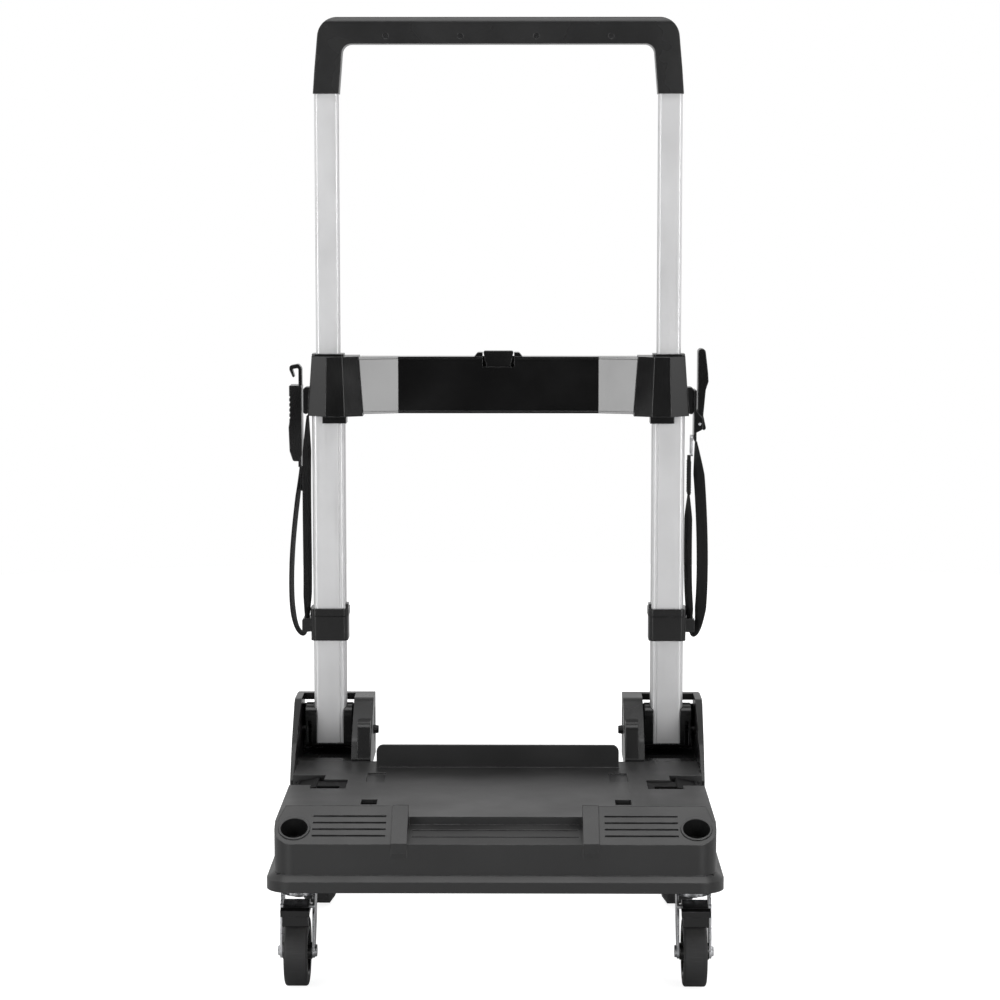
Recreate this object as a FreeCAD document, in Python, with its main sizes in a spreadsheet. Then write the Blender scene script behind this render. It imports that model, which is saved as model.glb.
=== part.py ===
import FreeCAD, Part
import math
import os
import Sketcher

# Folding platform cart: a moulded deck on two braked casters and two rear
# wheels, two telescopic posts that fold forward over the deck, a cross brace
# with the height lock, and a lashing strap on each post.
# Millimetres, +X to the cart's right, -Y to its front, +Z up.  The origin is
# on the ground under the middle of the cart.
# Paired pieces are modelled on the +X side and mirrored for the -X side.

Vector = FreeCAD.Vector
Rotation = FreeCAD.Rotation

doc = FreeCAD.newDocument("folding_platform_cart")
sheet = doc.addObject("Spreadsheet::Sheet", "Sizes")

SIZES = {
    "Deck": {
        "deck_front_y": -250, "deck_depth": 332, "lip_half_width": 240, "lip_bottom": 122,
        "lip_thick": 17, "lip_step": 8, "lip_slope": 5.5, "lip_corner": 26, "deck_corner": 20, "deck_top": 190,
        "deck_skin": 4, "front_edge_top": 172, "bar_run": 49, "bar_top": 202, "step_half_width": 92,
        "step_drop": 8.5, "bar_groove": 2.2, "bar_groove_pitch": 9.6, "bar_groove_first": 12.8,
        "bar_groove_inner": 115, "bar_groove_outer": 192, "bar_pad_width": 17, "bar_pad_proud": 1.2,
        "socket_x": 211, "socket_bore": 14.25, "socket_wall": 2.2, "socket_depth": 26,
        "socket_along": 23, "rear_wall_half": 139.5, "rear_wall_thick": 4, "rear_wall_height": 26,
        "rear_wall_back": 28, "slot_x": 138, "slot_width": 17.4, "slot_from": 113, "slot_long": 24,
        "rib_thick": 3, "rib_depth": 36, "pocket_x": 137, "pocket_width": 21, "pocket_from": 224,
        "pocket_long": 46, "pocket_depth": 2,
        "step_groove_depth": 2.6, "bar_taper": 10,
    },
    "Fold latch": {
        "latch_inner_x": 168, "latch_axis_x": 207, "latch_from": 207, "latch_long": 51,
        "latch_arm_from": 190, "latch_arm_long": 45, "latch_cavity": 34, "latch_arm_cavity": 12,
        "latch_thick": 8, "latch_pin_radius": 2, "latch_gap": 0.6,
    },
    "Posts": {
        "post_x": 199.5, "post_front_y": 147, "outer_width": 38, "outer_depth": 28, "outer_wall": 1.8,
        "outer_corner": 5, "outer_bottom": 198, "outer_top": 640, "inner_width": 28,
        "inner_depth": 18, "inner_wall": 1.6, "inner_corner": 3.5, "inner_bottom": 530,
        "slide_gap": 0.2, "pivot_y": 155, "pivot_z": 213, "pin_radius": 4, "pin_head": 5.5, "fit_gap": 0.05,
        "lock_hole_radius": 3.3, "slide_travel": 298,
    },
    "Shoe": {
        "shoe_inner_x": 173.5, "shoe_outer_x": 228.5, "shoe_top": 243, "shoe_floor": 4,
        "shoe_wrap": 3, "shoe_lip": 3.2,
    },
    "Hinge housing": {
        "cheek_inner_x": 148, "cheek_thick": 23, "cheek_top": 252, "cheek_rear_y": 190,
        "outer_cheek_proud": 1, "outer_cheek_flare": 5, "outer_cheek_thick": 8, "outer_cheek_front_y": 12,
        "bridge_thick": 8, "bridge_depth": 10, "back_wall_thick": 3.5, "back_slot": 6, "well_floor": 184, "well_thick": 6,
        "block_front_y": 95, "block_top": 232, "block_inner_x": 149, "block_width": 15,
        "leg_inner_x": 174, "leg_thick": 16, "leg_boss": 22, "side_gap": 0.3,
    },
    "Rear wheels": {
        "axle_y": 170, "rear_radius": 80, "rear_width": 40, "rear_inner_x": 195, "axle_radius": 6,
        "rear_rim": 60, "rear_hub_boss": 14, "axle_cap_radius": 13, "axle_cap_thick": 4,
    },
    "Casters": {
        "caster_x": 213, "caster_back": 105, "caster_trail": 25, "caster_radius": 37.5,
        "caster_width": 25, "caster_plate_top": 110, "caster_plate_size": 50, "caster_plate_thick": 3,
        "race_radius": 17, "race_bottom": 101, "crown_top": 98.5, "crown_thick": 4, "kingpin_radius": 4,
        "fork_half": 18.5, "fork_thick": 2.5, "caster_axle_radius": 4, "caster_rim": 26,
        "pedal_top": 95, "pedal_pin_radius": 2.5, "pedal_half": 13.8, "pedal_lip_proud": 1.7,
    },
    "Brackets": {
        "bracket_bottom": 587.5, "bracket_top": 657.5, "bracket_front_y": 134, "bracket_back_y": 179,
        "bracket_block": 8, "panel_bottom": 590, "panel_top": 656.5, "panel_bend_x": 117.5,
        "panel_end_x": 161, "panel_end_y": 143, "panel_recess": 15, "panel_thick": 2.5,
        "brace_depth": 32, "button_half": 18, "button_top": 663, "button_travel": 6, "rod_radius": 3,
        "rod_gap": 0.4, "rod_z": 624, "lug_from_z": 592, "lug_to_z": 621, "lug_x": 230,
    },
    "Collars": {
        "collar_bottom": 321.5, "collar_top": 359.5, "collar_wrap": 2.8, "collar_lug_x": 227,
        "collar_lug_low": 332, "collar_lug_high": 347.5, "collar_slot_gap": 2,
    },
    "Handle": {
        "handle_top": 1049, "grip_thick": 31, "grip_depth": 26, "grip_leg_bottom": 961,
        "grip_half_width": 207, "grip_corner": 24, "grip_screw_radius": 3,
    },
    "Straps": {
        "strap_width": 20, "strap_thick": 1.6, "strap_y": 161, "buckle_depth": 26,
        "hook_outer_x": 246, "hook_body_bottom": 534, "hook_body_top": 623,
    },
}


def number_text(value):
    """A plain number as the sheet and the expressions write it."""
    return f"{value:.6g}"


class Size:
    """A length that keeps both its value and the sheet expression it comes from."""

    def __init__(self, value, text=None):
        self.value = float(value)
        self.text = text if text is not None else number_text(self.value)

    def mixed(self, other, sign, value):
        other = as_size(other)
        return Size(value(self.value, other.value), f"({self.text} {sign} {other.text})")

    def __add__(self, other):
        return self.mixed(other, "+", lambda a, b: a + b)

    def __sub__(self, other):
        return self.mixed(other, "-", lambda a, b: a - b)

    def __mul__(self, other):
        return self.mixed(other, "*", lambda a, b: a * b)

    def __truediv__(self, other):
        return self.mixed(other, "/", lambda a, b: a / b)

    def __radd__(self, other):
        return as_size(other) + self

    def __rsub__(self, other):
        return as_size(other) - self

    def __rmul__(self, other):
        return as_size(other) * self

    def __neg__(self):
        return Size(-self.value, f"(0 - {self.text})")

    def root(self):
        return Size(math.sqrt(self.value), f"sqrt({self.text})")


def as_size(value):
    return value if isinstance(value, Size) else Size(value)


def fill_sheet():
    """Write every driving dimension to the sheet, one group under the other."""
    sizes = {}
    row = 1
    for group, values in SIZES.items():
        sheet.set(f"A{row}", group)
        row += 1
        for name, value in values.items():
            sheet.set(f"A{row}", name.replace("_", " "))
            sheet.set(f"B{row}", number_text(value))
            sheet.setAlias(f"B{row}", name)
            sizes[name] = Size(value, f"Sizes.{name}")
            row += 1
    doc.recompute()
    return sizes


S = fill_sheet()
NODES = []


# --------------------------------------------------------------- modelling aids

def bind(thing, prop, size):
    thing.setExpression(prop, as_size(size).text)


def locate(thing, x=0, y=0, z=0, rotation=None):
    """Place an object: its turn is fixed and its position follows the sheet."""
    place = [as_size(value) for value in (x, y, z)]
    start = Vector(*[value.value for value in place])
    thing.Placement = FreeCAD.Placement(start, rotation or Rotation())
    for axis, value in zip("xyz", place):
        bind(thing, f"Placement.Base.{axis}", value)
    return thing


def node(thing, name):
    """Mark an object as a finished sub-part under its own name."""
    thing.Label = name
    NODES.append(thing)
    return thing


def block(name, x_range, y_range, z_range):
    """A box between two limits along each axis."""
    box = doc.addObject("Part::Box", name)
    for prop, (low, high) in zip(("Length", "Width", "Height"), (x_range, y_range, z_range)):
        bind(box, prop, as_size(high) - low)
    return locate(box, x_range[0], y_range[0], z_range[0])


TURNS = {
    "X": Rotation(Vector(0, 1, 0), 90),
    "Y": Rotation(Vector(1, 0, 0), -90),
    "Z": Rotation(),
}


def rod(name, axis, start, length, radius):
    """A cylinder that runs from start along the named axis."""
    cylinder = doc.addObject("Part::Cylinder", name)
    bind(cylinder, "Radius", radius)
    bind(cylinder, "Height", length)
    return locate(cylinder, *start, rotation=TURNS[axis])


def fuse(name, pieces):
    joined = doc.addObject("Part::MultiFuse", name)
    joined.Shapes = pieces
    joined.Refine = True
    return joined


def cut(name, base, tools):
    """Base with every tool taken out of it."""
    tool = tools[0] if len(tools) == 1 else fuse(f"{name}_tools", tools)
    result = doc.addObject("Part::Cut", name)
    result.Base = base
    result.Tool = tool
    result.Refine = True
    return result


def common(name, first, second):
    result = doc.addObject("Part::Common", name)
    result.Base = first
    result.Tool = second
    return result


def group(name, pieces):
    """Separate identical solids that share one name."""
    result = doc.addObject("Part::Compound", name)
    result.Links = pieces
    return result


def mirrored(name, source):
    twin = doc.addObject("Part::Mirroring", name)
    twin.Source = source
    twin.Base = (0, 0, 0)
    twin.Normal = (1, 0, 0)
    return twin


def pair(name, right):
    """The right-hand node and its mirror image on the left."""
    node(right, f"{name}_right")
    return node(mirrored(f"{name}_left_mirror", right), f"{name}_left")


def fix_point(sketch, geometry, position, x, y, label):
    """Pin a sketch point to the sheet along both sketch axes."""
    for axis, value, line in (("X", x, -2), ("Y", y, -1)):
        size = as_size(value)
        if size.value == 0 and size.text == "0":
            sketch.addConstraint(Sketcher.Constraint("PointOnObject", geometry, position, line))
            continue
        kind = f"Distance{axis}"
        index = sketch.addConstraint(
            Sketcher.Constraint(kind, -1, 1, geometry, position, size.value))
        name = f"{label}{axis.lower()}"
        sketch.renameConstraint(index, name)
        sketch.setExpression(f"Constraints.{name}", size.text)


def corner_arc(before, at, after, radius):
    """The two tangent points of a rounded corner, and its arc."""
    back = (before - at).normalize()
    ahead = (after - at).normalize()
    half = back.getAngle(ahead) / 2
    reach = radius / math.tan(half)
    start = at + back * reach
    end = at + ahead * reach
    centre = at + (back + ahead).normalize() * (radius / math.sin(half))
    turn_left = (at - before).cross(after - at).z > 0
    first, last = (start, end) if turn_left else (end, start)
    angles = [math.atan2(point.y - centre.y, point.x - centre.x) for point in (first, last)]
    arc = Part.ArcOfCircle(Part.Circle(centre, Vector(0, 0, 1), radius), *angles)
    return start, end, arc, turn_left


def outline(sketch, corners, prefix="p"):
    """Draw a closed outline; a corner is (x, y) or (x, y, radius)."""
    sizes = [[as_size(value) for value in corner] for corner in corners]
    points = [Vector(corner[0].value, corner[1].value, 0) for corner in sizes]
    count = len(points)
    starts, ends, arcs = list(points), list(points), [None] * count
    for index, corner in enumerate(sizes):
        if len(corner) == 3:
            before, after = points[index - 1], points[(index + 1) % count]
            ends[index], starts[index], arc, left = corner_arc(
                before, points[index], after, corner[2].value)
            arcs[index] = (arc, left)
    lines = [sketch.addGeometry(Part.LineSegment(starts[i], ends[(i + 1) % count]), False)
             for i in range(count)]
    for index, corner in enumerate(sizes):
        incoming, outgoing = lines[index - 1], lines[index]
        label = f"{prefix}{index}"
        if arcs[index] is None:
            sketch.addConstraint(Sketcher.Constraint("Coincident", incoming, 2, outgoing, 1))
            fix_point(sketch, outgoing, 1, corner[0], corner[1], label)
            continue
        arc, left = arcs[index]
        curve = sketch.addGeometry(arc, False)
        entry, leave = (1, 2) if left else (2, 1)
        sketch.addConstraint(Sketcher.Constraint("Tangent", incoming, 2, curve, entry))
        sketch.addConstraint(Sketcher.Constraint("Tangent", outgoing, 1, curve, leave))
        rounding = sketch.addConstraint(Sketcher.Constraint("Radius", curve, corner[2].value))
        sketch.renameConstraint(rounding, f"{label}r")
        sketch.setExpression(f"Constraints.{label}r", corner[2].text)
        mark = sketch.addGeometry(Part.Point(points[index]), True)
        fix_point(sketch, mark, 1, corner[0], corner[1], label)
        for line in (incoming, outgoing):
            sketch.addConstraint(Sketcher.Constraint("PointOnObject", mark, 1, line))


def body_sketch(body, name, plane, offset=0):
    """A sketch of a body on one of its own origin planes."""
    support = [feature for feature in body.Origin.OriginFeatures if feature.Role == f"{plane}_Plane"]
    sketch = body.newObject("Sketcher::SketchObject", name)
    sketch.AttachmentSupport = (support[0], [""])
    sketch.MapMode = "FlatFace"
    bind(sketch, "AttachmentOffset.Base.z", offset)
    return sketch


def slab(name, plane, corners, low, high, holes=()):
    """A plate of the given outline between two limits across its plane.

    XY outlines are (x, y), XZ outlines are (x, z) and YZ outlines are (y, z).
    """
    body = doc.addObject("PartDesign::Body", name)
    start = -as_size(high) if plane == "XZ" else low
    sketch = body_sketch(body, f"{name}_sketch", plane, start)
    outline(sketch, corners)
    for index, hole in enumerate(holes):
        outline(sketch, hole, f"hole{index}p")
    pad = body.newObject("PartDesign::Pad", f"{name}_pad")
    pad.Profile = sketch
    bind(pad, "Length", as_size(high) - low)
    body.Tip = pad
    return body


def turned(name, corners, start=(0, 0, 0), axis="X"):
    """A piece turned about its axis; a corner is (along the axis, radius)."""
    body = doc.addObject("PartDesign::Body", name)
    sketch = body_sketch(body, f"{name}_sketch", "XY")
    outline(sketch, corners)
    turn = body.newObject("PartDesign::Revolution", f"{name}_turn")
    turn.Profile = sketch
    turn.ReferenceAxis = (sketch, ["H_Axis"])
    turn.Angle = 360
    body.Tip = turn
    rotations = {"X": Rotation(), "Z": Rotation(Vector(0, 1, 0), -90), "Y": Rotation(Vector(0, 0, 1), 90)}
    return locate(body, *start, rotation=rotations[axis])


def lofted(name, sections):
    """A solid through outlines on level planes; a section is (height, corners)."""
    body = doc.addObject("PartDesign::Body", name)
    sketches = []
    for index, (height, corners) in enumerate(sections):
        sketch = body_sketch(body, f"{name}_section{index}", "XY", height)
        outline(sketch, corners)
        sketches.append(sketch)
    loft = body.newObject("PartDesign::AdditiveLoft", f"{name}_loft")
    loft.Profile = sketches[0]
    loft.Sections = sketches[1:]
    loft.Ruled = True
    body.Tip = loft
    return body


def rectangle(x_low, x_high, y_low, y_high, radius=None):
    corners = [(x_low, y_low), (x_high, y_low), (x_high, y_high), (x_low, y_high)]
    return corners if radius is None else [corner + (radius,) for corner in corners]


def around(centre_x, centre_y, width, depth, radius):
    """A rounded rectangle about a centre."""
    return rectangle(centre_x - width / 2, centre_x + width / 2,
                     centre_y - depth / 2, centre_y + depth / 2, radius)


# ---------------------------------------------------------- places used by many

deck_rear_y = S["deck_front_y"] + S["deck_depth"]
lip_top = S["lip_bottom"] + S["lip_thick"]
body_half = S["lip_half_width"] - S["lip_step"]
body_front_y = S["deck_front_y"] + S["lip_step"]
bar_back_y = body_front_y + S["bar_run"]
deck_under = S["deck_top"] - S["deck_skin"]
bar_rise = S["bar_top"] - S["front_edge_top"]
bar_length = (bar_rise * bar_rise + S["bar_run"] * S["bar_run"]).root()
bar_cos = S["bar_run"] / bar_length
bar_sin = bar_rise / bar_length
post_y = S["post_front_y"] + S["outer_depth"] / 2
post_back_y = S["post_front_y"] + S["outer_depth"]
post_inner_x = S["post_x"] - S["outer_width"] / 2
post_outer_x = S["post_x"] + S["outer_width"] / 2
caster_y = S["deck_front_y"] + S["caster_back"]
caster_axle_y = caster_y - S["caster_trail"]
wheel_outer_x = S["rear_inner_x"] + S["rear_width"]
outer_cheek_x = S["lip_half_width"] + S["outer_cheek_proud"]


panel_back = S["panel_end_y"] + S["panel_recess"] + S["panel_thick"]
rod_y = panel_back + S["rod_radius"] + S["rod_gap"]
brace_back = S["panel_end_y"] + S["brace_depth"]


def bar_point(along, above):
    """A point on the sloped front bar, measured up the slope and off its face."""
    y = body_front_y + along * bar_cos - above * bar_sin
    z = S["front_edge_top"] + along * bar_sin + above * bar_cos
    return y, z


def both_sides(name, maker):
    """A tool on the right and its mirror image on the left."""
    right = maker(f"{name}_right")
    return [right, mirrored(f"{name}_left", right)]


# ------------------------------------------------------------------------ deck

def deck_profile_cut():
    """Take the deck's body down to the sloped bar and the flat floor."""
    front = S["deck_front_y"] - 10
    low_front = S["front_edge_top"] - bar_rise * (body_front_y - front) / S["bar_run"]
    rise = S["bar_top"] + 10
    return slab("deck_top_profile", "YZ", [
        (front, low_front), (bar_back_y, S["bar_top"]), (bar_back_y, S["deck_top"]),
        (deck_rear_y + 10, S["deck_top"]), (deck_rear_y + 10, rise), (front, rise),
    ], -S["lip_half_width"], S["lip_half_width"])


def deck_step_cut():
    """The lower ribbed step in the middle of the bar."""
    low = S["deck_top"] - S["step_drop"]
    front = S["deck_front_y"] - 10
    low_front = S["front_edge_top"] - (low - S["front_edge_top"]) * (body_front_y - front) / S["bar_run"]
    return slab("deck_step", "YZ", [
        (front, low_front), (bar_back_y, low), (bar_back_y, S["bar_top"] + 10),
        (front, S["bar_top"] + 10),
    ], -S["step_half_width"], S["step_half_width"])


def bar_end_cut(name):
    """The slanted end of the bar, which narrows towards the rear."""
    out = body_half + 1
    return slab(name, "XY", [
        (out, body_front_y + S["deck_corner"]), (out, bar_back_y + 1),
        (body_half - S["bar_taper"], bar_back_y + 1),
    ], S["deck_top"], S["bar_top"] + 2)


def bar_groove(name, index, step=False):
    """One shallow groove across the bar, or across its lower middle step."""
    half = S["bar_groove"] / 2
    along = S["bar_groove_first"] + S["bar_groove_pitch"] * index
    if not step:
        corners = [bar_point(along - half, -2), bar_point(along + half, -2),
                   bar_point(along + half, 4), bar_point(along - half, 4)]
        return slab(name, "YZ", corners, S["bar_groove_inner"], S["bar_groove_outer"])
    y = body_front_y + S["bar_groove_first"] + 6 + S["bar_groove_pitch"] * 1.7 * index
    floor = S["front_edge_top"] - S["step_groove_depth"] + (y - body_front_y) * 0.19
    inset = S["step_half_width"] - 4
    return block(name, (-inset, inset), (y - half, y + half), (floor, floor + 6))


def bar_pad(name):
    """The smooth raised pad beside the middle step."""
    inner = S["step_half_width"]
    proud = S["bar_pad_proud"]
    front = body_front_y - proud
    return slab(name, "YZ", [
        (front, lip_top + 24), bar_point(-proud, 0)[:1] + (lip_top + 24,),
        bar_point(0, proud), bar_point(bar_length, proud), (bar_back_y, S["deck_top"]),
        (body_front_y + 4, S["front_edge_top"] - 6), (body_front_y + 4, lip_top + 20),
        (body_front_y, lip_top + 18),
    ], inner, inner + S["bar_pad_width"])


def socket_axis(name, depth, radius, start=0):
    """A cylinder down the corner socket's axis, square to the bar's slope."""
    y, z = bar_point(S["socket_along"], -start)
    cylinder = doc.addObject("Part::Cylinder", name)
    bind(cylinder, "Radius", radius)
    bind(cylinder, "Height", depth)
    tilt = math.degrees(math.atan2(bar_rise.value, S["bar_run"].value))
    return locate(cylinder, S["socket_x"], y, z, rotation=Rotation(Vector(1, 0, 0), 180 + tilt))


def deck_underside():
    """The hollow under the floor, lower beneath the sloped bar."""
    wall = S["deck_skin"]
    front = body_front_y + wall
    step_under = S["deck_top"] - S["step_drop"] - wall - 1
    half = body_half - wall
    return slab("deck_hollow", "YZ", [
        (front, S["lip_bottom"] - 10), (deck_rear_y - wall, S["lip_bottom"] - 10),
        (deck_rear_y - wall, deck_under), (bar_back_y + wall, deck_under),
        (bar_back_y + wall, step_under), (bar_back_y, step_under),
        (front, S["front_edge_top"] - wall - 0.5),
    ], -half, half)


def deck_ribs():
    """Stiffening ribs under the floor."""
    half = body_half - S["deck_skin"]
    low = deck_under - S["rib_depth"]
    front = bar_back_y + S["deck_skin"]
    rear = deck_rear_y - S["deck_skin"]
    ribs = []
    for index, x in enumerate((-S["slot_x"] + 20, as_size(0), S["slot_x"] - 20)):
        span = (x - S["rib_thick"] / 2, x + S["rib_thick"] / 2)
        ribs.append(block(f"deck_long_rib{index}", span, (front, rear), (low, deck_under)))
    for index in range(2):
        y = front + (rear - front) * (index + 1) / 3
        span = (y - S["rib_thick"] / 2, y + S["rib_thick"] / 2)
        ribs.append(block(f"deck_cross_rib{index}", (-half, half), span, (low, deck_under)))
    return ribs


def caster_pad(name):
    """The pad and ribs that carry one caster under the deck."""
    reach = S["caster_plate_size"] / 2 + 1
    x_range = (S["caster_x"] - reach, S["caster_x"] + reach)
    pad = block(f"{name}_pad", x_range, (caster_y - reach, caster_y + reach),
                (S["caster_plate_top"], S["lip_bottom"] + 3))
    inner = S["caster_x"] - reach
    ribs = []
    for index in (-1, 1):
        y = caster_y + reach * 0.6 * index
        ribs.append(block(f"{name}_rib{index + 1}", (inner, body_half - S["deck_skin"] / 2),
                          (y - S["rib_thick"] / 2, y + S["rib_thick"] / 2),
                          (S["lip_bottom"], deck_under)))
    wall = block(f"{name}_wall", (inner, inner + S["rib_thick"]),
                 (caster_y - reach, caster_y + reach), (S["lip_bottom"], deck_under))
    return fuse(name, [pad, wall] + ribs)


def latch_cavities(name):
    """The side cavity and the arm's recess that hold one fold latch."""
    front = S["deck_front_y"] + S["latch_from"]
    side = block(f"{name}_side", (S["latch_axis_x"], S["lip_half_width"]),
                 (front, front + S["latch_long"]), (S["deck_top"] - S["latch_cavity"], S["bar_top"]))
    arm_front = S["deck_front_y"] + S["latch_arm_from"]
    arm = block(f"{name}_arm", (S["latch_inner_x"], S["latch_axis_x"] + 1),
                (arm_front, arm_front + S["latch_arm_long"]),
                (S["deck_top"] - S["latch_arm_cavity"], S["bar_top"]))
    link = block(f"{name}_link", (S["latch_axis_x"] - 12, S["latch_axis_x"] + 1),
                 (front, front + S["latch_long"]),
                 (S["deck_top"] - S["latch_arm_cavity"] - 4, S["bar_top"]))
    return fuse(name, [side, arm, link])


def latch_tray(name):
    """The closed tray under one latch, so that its cavity has a floor."""
    front = S["deck_front_y"] + S["latch_arm_from"] - 4
    rear = S["deck_front_y"] + S["latch_from"] + S["latch_long"] + 4
    low = S["deck_top"] - S["latch_cavity"] - 3
    side = block(f"{name}_side", (S["latch_axis_x"] - 16, body_half - 0.5), (front, rear),
                 (low, deck_under))
    arm = block(f"{name}_arm", (S["latch_inner_x"] - 4, S["latch_axis_x"]), (front, rear),
                (S["deck_top"] - S["latch_arm_cavity"] - 4, deck_under))
    return fuse(name, [side, arm])


def lip_outline(inset):
    """The lip's plan outline, drawn in by inset at the front and sides."""
    half, front = S["lip_half_width"] - inset, S["deck_front_y"] + inset
    radius = S["lip_corner"] - inset
    return [(-half, front, radius), (half, front, radius), (half, deck_rear_y), (-half, deck_rear_y)]


def corner_wall(name):
    """The rounded wall of one front corner, with the hollow of the deck behind it."""
    x, y = body_half - S["deck_corner"], body_front_y + S["deck_corner"]
    height = S["front_edge_top"] - S["deck_skin"] - S["lip_bottom"]
    outside = rod(f"{name}_outside", "Z", (x, y, S["lip_bottom"]), height, S["deck_corner"])
    inside = rod(f"{name}_inside", "Z", (x, y, S["lip_bottom"] - 1), height + 2,
                 S["deck_corner"] - S["deck_skin"])
    return cut(name, outside, [inside])


def deck_shell():
    """The moulded deck with its lip, bar, sockets, slots and rear wall."""
    front, rear = S["deck_front_y"], deck_rear_y
    lip = lofted("deck_lip", [
        (S["lip_bottom"], lip_outline(0)), (lip_top - S["lip_slope"], lip_outline(0)),
        (lip_top, lip_outline(S["lip_step"] - 1)),
    ])
    upper = slab("deck_body", "XY", [
        (-body_half, body_front_y, S["deck_corner"]), (body_half, body_front_y, S["deck_corner"]),
        (body_half, rear), (-body_half, rear),
    ], S["lip_bottom"], S["bar_top"] + 1)
    shaped = cut("deck_outer", fuse("deck_blank", [lip, upper]), [deck_profile_cut(), deck_step_cut()])
    hollow = cut("deck_hollowed", shaped, [deck_underside()])
    wall_y = deck_rear_y - S["rear_wall_back"]
    rear_wall = slab("deck_rear_wall", "XZ", [
        (-S["rear_wall_half"], deck_under), (S["rear_wall_half"], deck_under),
        (S["rear_wall_half"], S["deck_top"] + S["rear_wall_height"], 8),
        (-S["rear_wall_half"], S["deck_top"] + S["rear_wall_height"], 8),
    ], wall_y - S["rear_wall_thick"], wall_y)
    adds = [hollow, rear_wall] + deck_ribs()
    for label, maker in (("bar_pad", bar_pad), ("caster_pad", caster_pad), ("latch_tray", latch_tray)):
        adds += both_sides(label, maker)
    adds += both_sides("corner_wall", corner_wall)
    wall = S["socket_bore"] + S["socket_wall"] + 2
    adds += both_sides("socket_boss", lambda name: socket_axis(name, S["socket_depth"] + 3, wall, 3))
    cuts = []
    for index in range(4):
        cuts += both_sides(f"bar_groove{index}", lambda name, at=index: bar_groove(name, at))
    cuts += [bar_groove(f"step_groove{index}", index, True) for index in range(2)]
    cuts += both_sides("bar_end_cut", bar_end_cut)
    cuts += both_sides("socket_seat", lambda name: socket_axis(
        name, S["socket_depth"] + 10, S["socket_bore"] + S["socket_wall"], -5))
    cuts += both_sides("latch_cavity", latch_cavities)
    slot_y = front + S["slot_from"]
    half_slot = S["slot_width"] / 2
    cuts += both_sides("deck_slot", lambda name: block(
        name, (S["slot_x"] - half_slot, S["slot_x"] + half_slot),
        (slot_y, slot_y + S["slot_long"]), (deck_under - 20, S["deck_top"] + 5)))
    pocket_y = front + S["pocket_from"]
    half_pocket = S["pocket_width"] / 2
    floor = S["deck_top"] - S["pocket_depth"]
    tray = both_sides("pocket_tray", lambda name: block(
        name, (S["pocket_x"] - half_pocket - 3, S["pocket_x"] + half_pocket + 3),
        (pocket_y - 3, pocket_y + S["pocket_long"] + 3), (floor - 3, deck_under + 1)))
    cuts += both_sides("deck_pocket", lambda name: block(
        name, (S["pocket_x"] - half_pocket, S["pocket_x"] + half_pocket),
        (pocket_y, pocket_y + S["pocket_long"]), (floor, S["deck_top"] + 5)))
    cuts += both_sides("latch_pin_bore", lambda name: latch_pin(name, 0))
    node(cut("deck_shell_solid", fuse("deck_filled", adds + tray), cuts), "deck_shell")


def latch_pin(name, extra):
    front = S["deck_front_y"] + S["latch_from"]
    return rod(name, "Y", (S["latch_axis_x"], front - 4, S["deck_top"] - S["latch_thick"]),
               S["latch_long"] + 7, S["latch_pin_radius"] + extra)


def socket_liners():
    """The round cups that line the two corner sockets."""
    def liner(name):
        outer = socket_axis(f"{name}_outer", S["socket_depth"] + 2, S["socket_bore"] + S["socket_wall"], -1)
        bore = socket_axis(f"{name}_bore", S["socket_depth"] + 2, S["socket_bore"], -3)
        return cut(name, outer, [bore])
    node(group("socket_cups", both_sides("socket_cup", liner)), "socket_liners")


def fold_latches():
    """The L-shaped latch in each side of the deck, with its pin."""
    gap = S["latch_gap"]
    front = S["deck_front_y"] + S["latch_from"]
    arm_front = S["deck_front_y"] + S["latch_arm_from"]
    top = S["deck_top"] - 2
    low = top - S["latch_thick"]
    pad = slab("latch_pad", "XZ", [
        (S["latch_axis_x"] - 6, low, 2), (body_half - 2, low - 4, 2), (body_half - 2, top - 6, 3),
        (S["latch_axis_x"] - 6, top, 2),
    ], front + gap, front + S["latch_long"] - gap)
    arm = block("latch_arm", (S["latch_inner_x"] + gap, S["latch_axis_x"] - 6),
                (arm_front + S["latch_arm_long"] * 0.45, arm_front + S["latch_arm_long"] - gap),
                (low, top))
    nose = block("latch_nose", (S["latch_inner_x"] + gap, S["latch_inner_x"] + 8),
                 (arm_front + gap, arm_front + S["latch_arm_long"] - gap), (low, top))
    thumb = slab("latch_rib", "XZ", [
        (body_half - 9, top - 7), (body_half - 6, top - 7), (body_half - 6, top - 3, 1),
        (body_half - 9, top - 3, 1),
    ], front + 6, front + S["latch_long"] - 6)
    bore = latch_pin("latch_bore", S["fit_gap"])
    latch = cut("fold_latch", fuse("latch_blank", [pad, arm, nose, thumb]), [bore])
    pair("fold_latch", latch)
    pins = both_sides("latch_pin", lambda name: latch_pin(name, 0))
    node(group("latch_pin_set", pins), "latch_pins")


# -------------------------------------------------------------- hinge housings

def inner_cheek():
    rear, top = S["cheek_rear_y"], S["cheek_top"]
    low = S["well_floor"] - S["well_thick"]
    inner, outer = S["cheek_inner_x"], S["cheek_inner_x"] + S["cheek_thick"]
    front = deck_rear_y + S["side_gap"]
    cheek = slab("inner_cheek", "YZ", [
        (front, low), (rear, low), (rear, top, 5), (S["pivot_y"] - 6, top, 16),
        (front + 14, S["block_top"] - 20, 14), (front, S["deck_top"] + 2),
    ], inner, outer)
    block_low = S["deck_top"]
    step = slab("cheek_step", "YZ", [
        (front, block_low), (S["pivot_y"] - 20, block_low),
        (S["pivot_y"] - 20, S["block_top"], 4), (S["block_front_y"], S["block_top"], 10),
    ], S["block_inner_x"], S["block_inner_x"] + S["block_width"])
    return [cheek, step]


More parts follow.
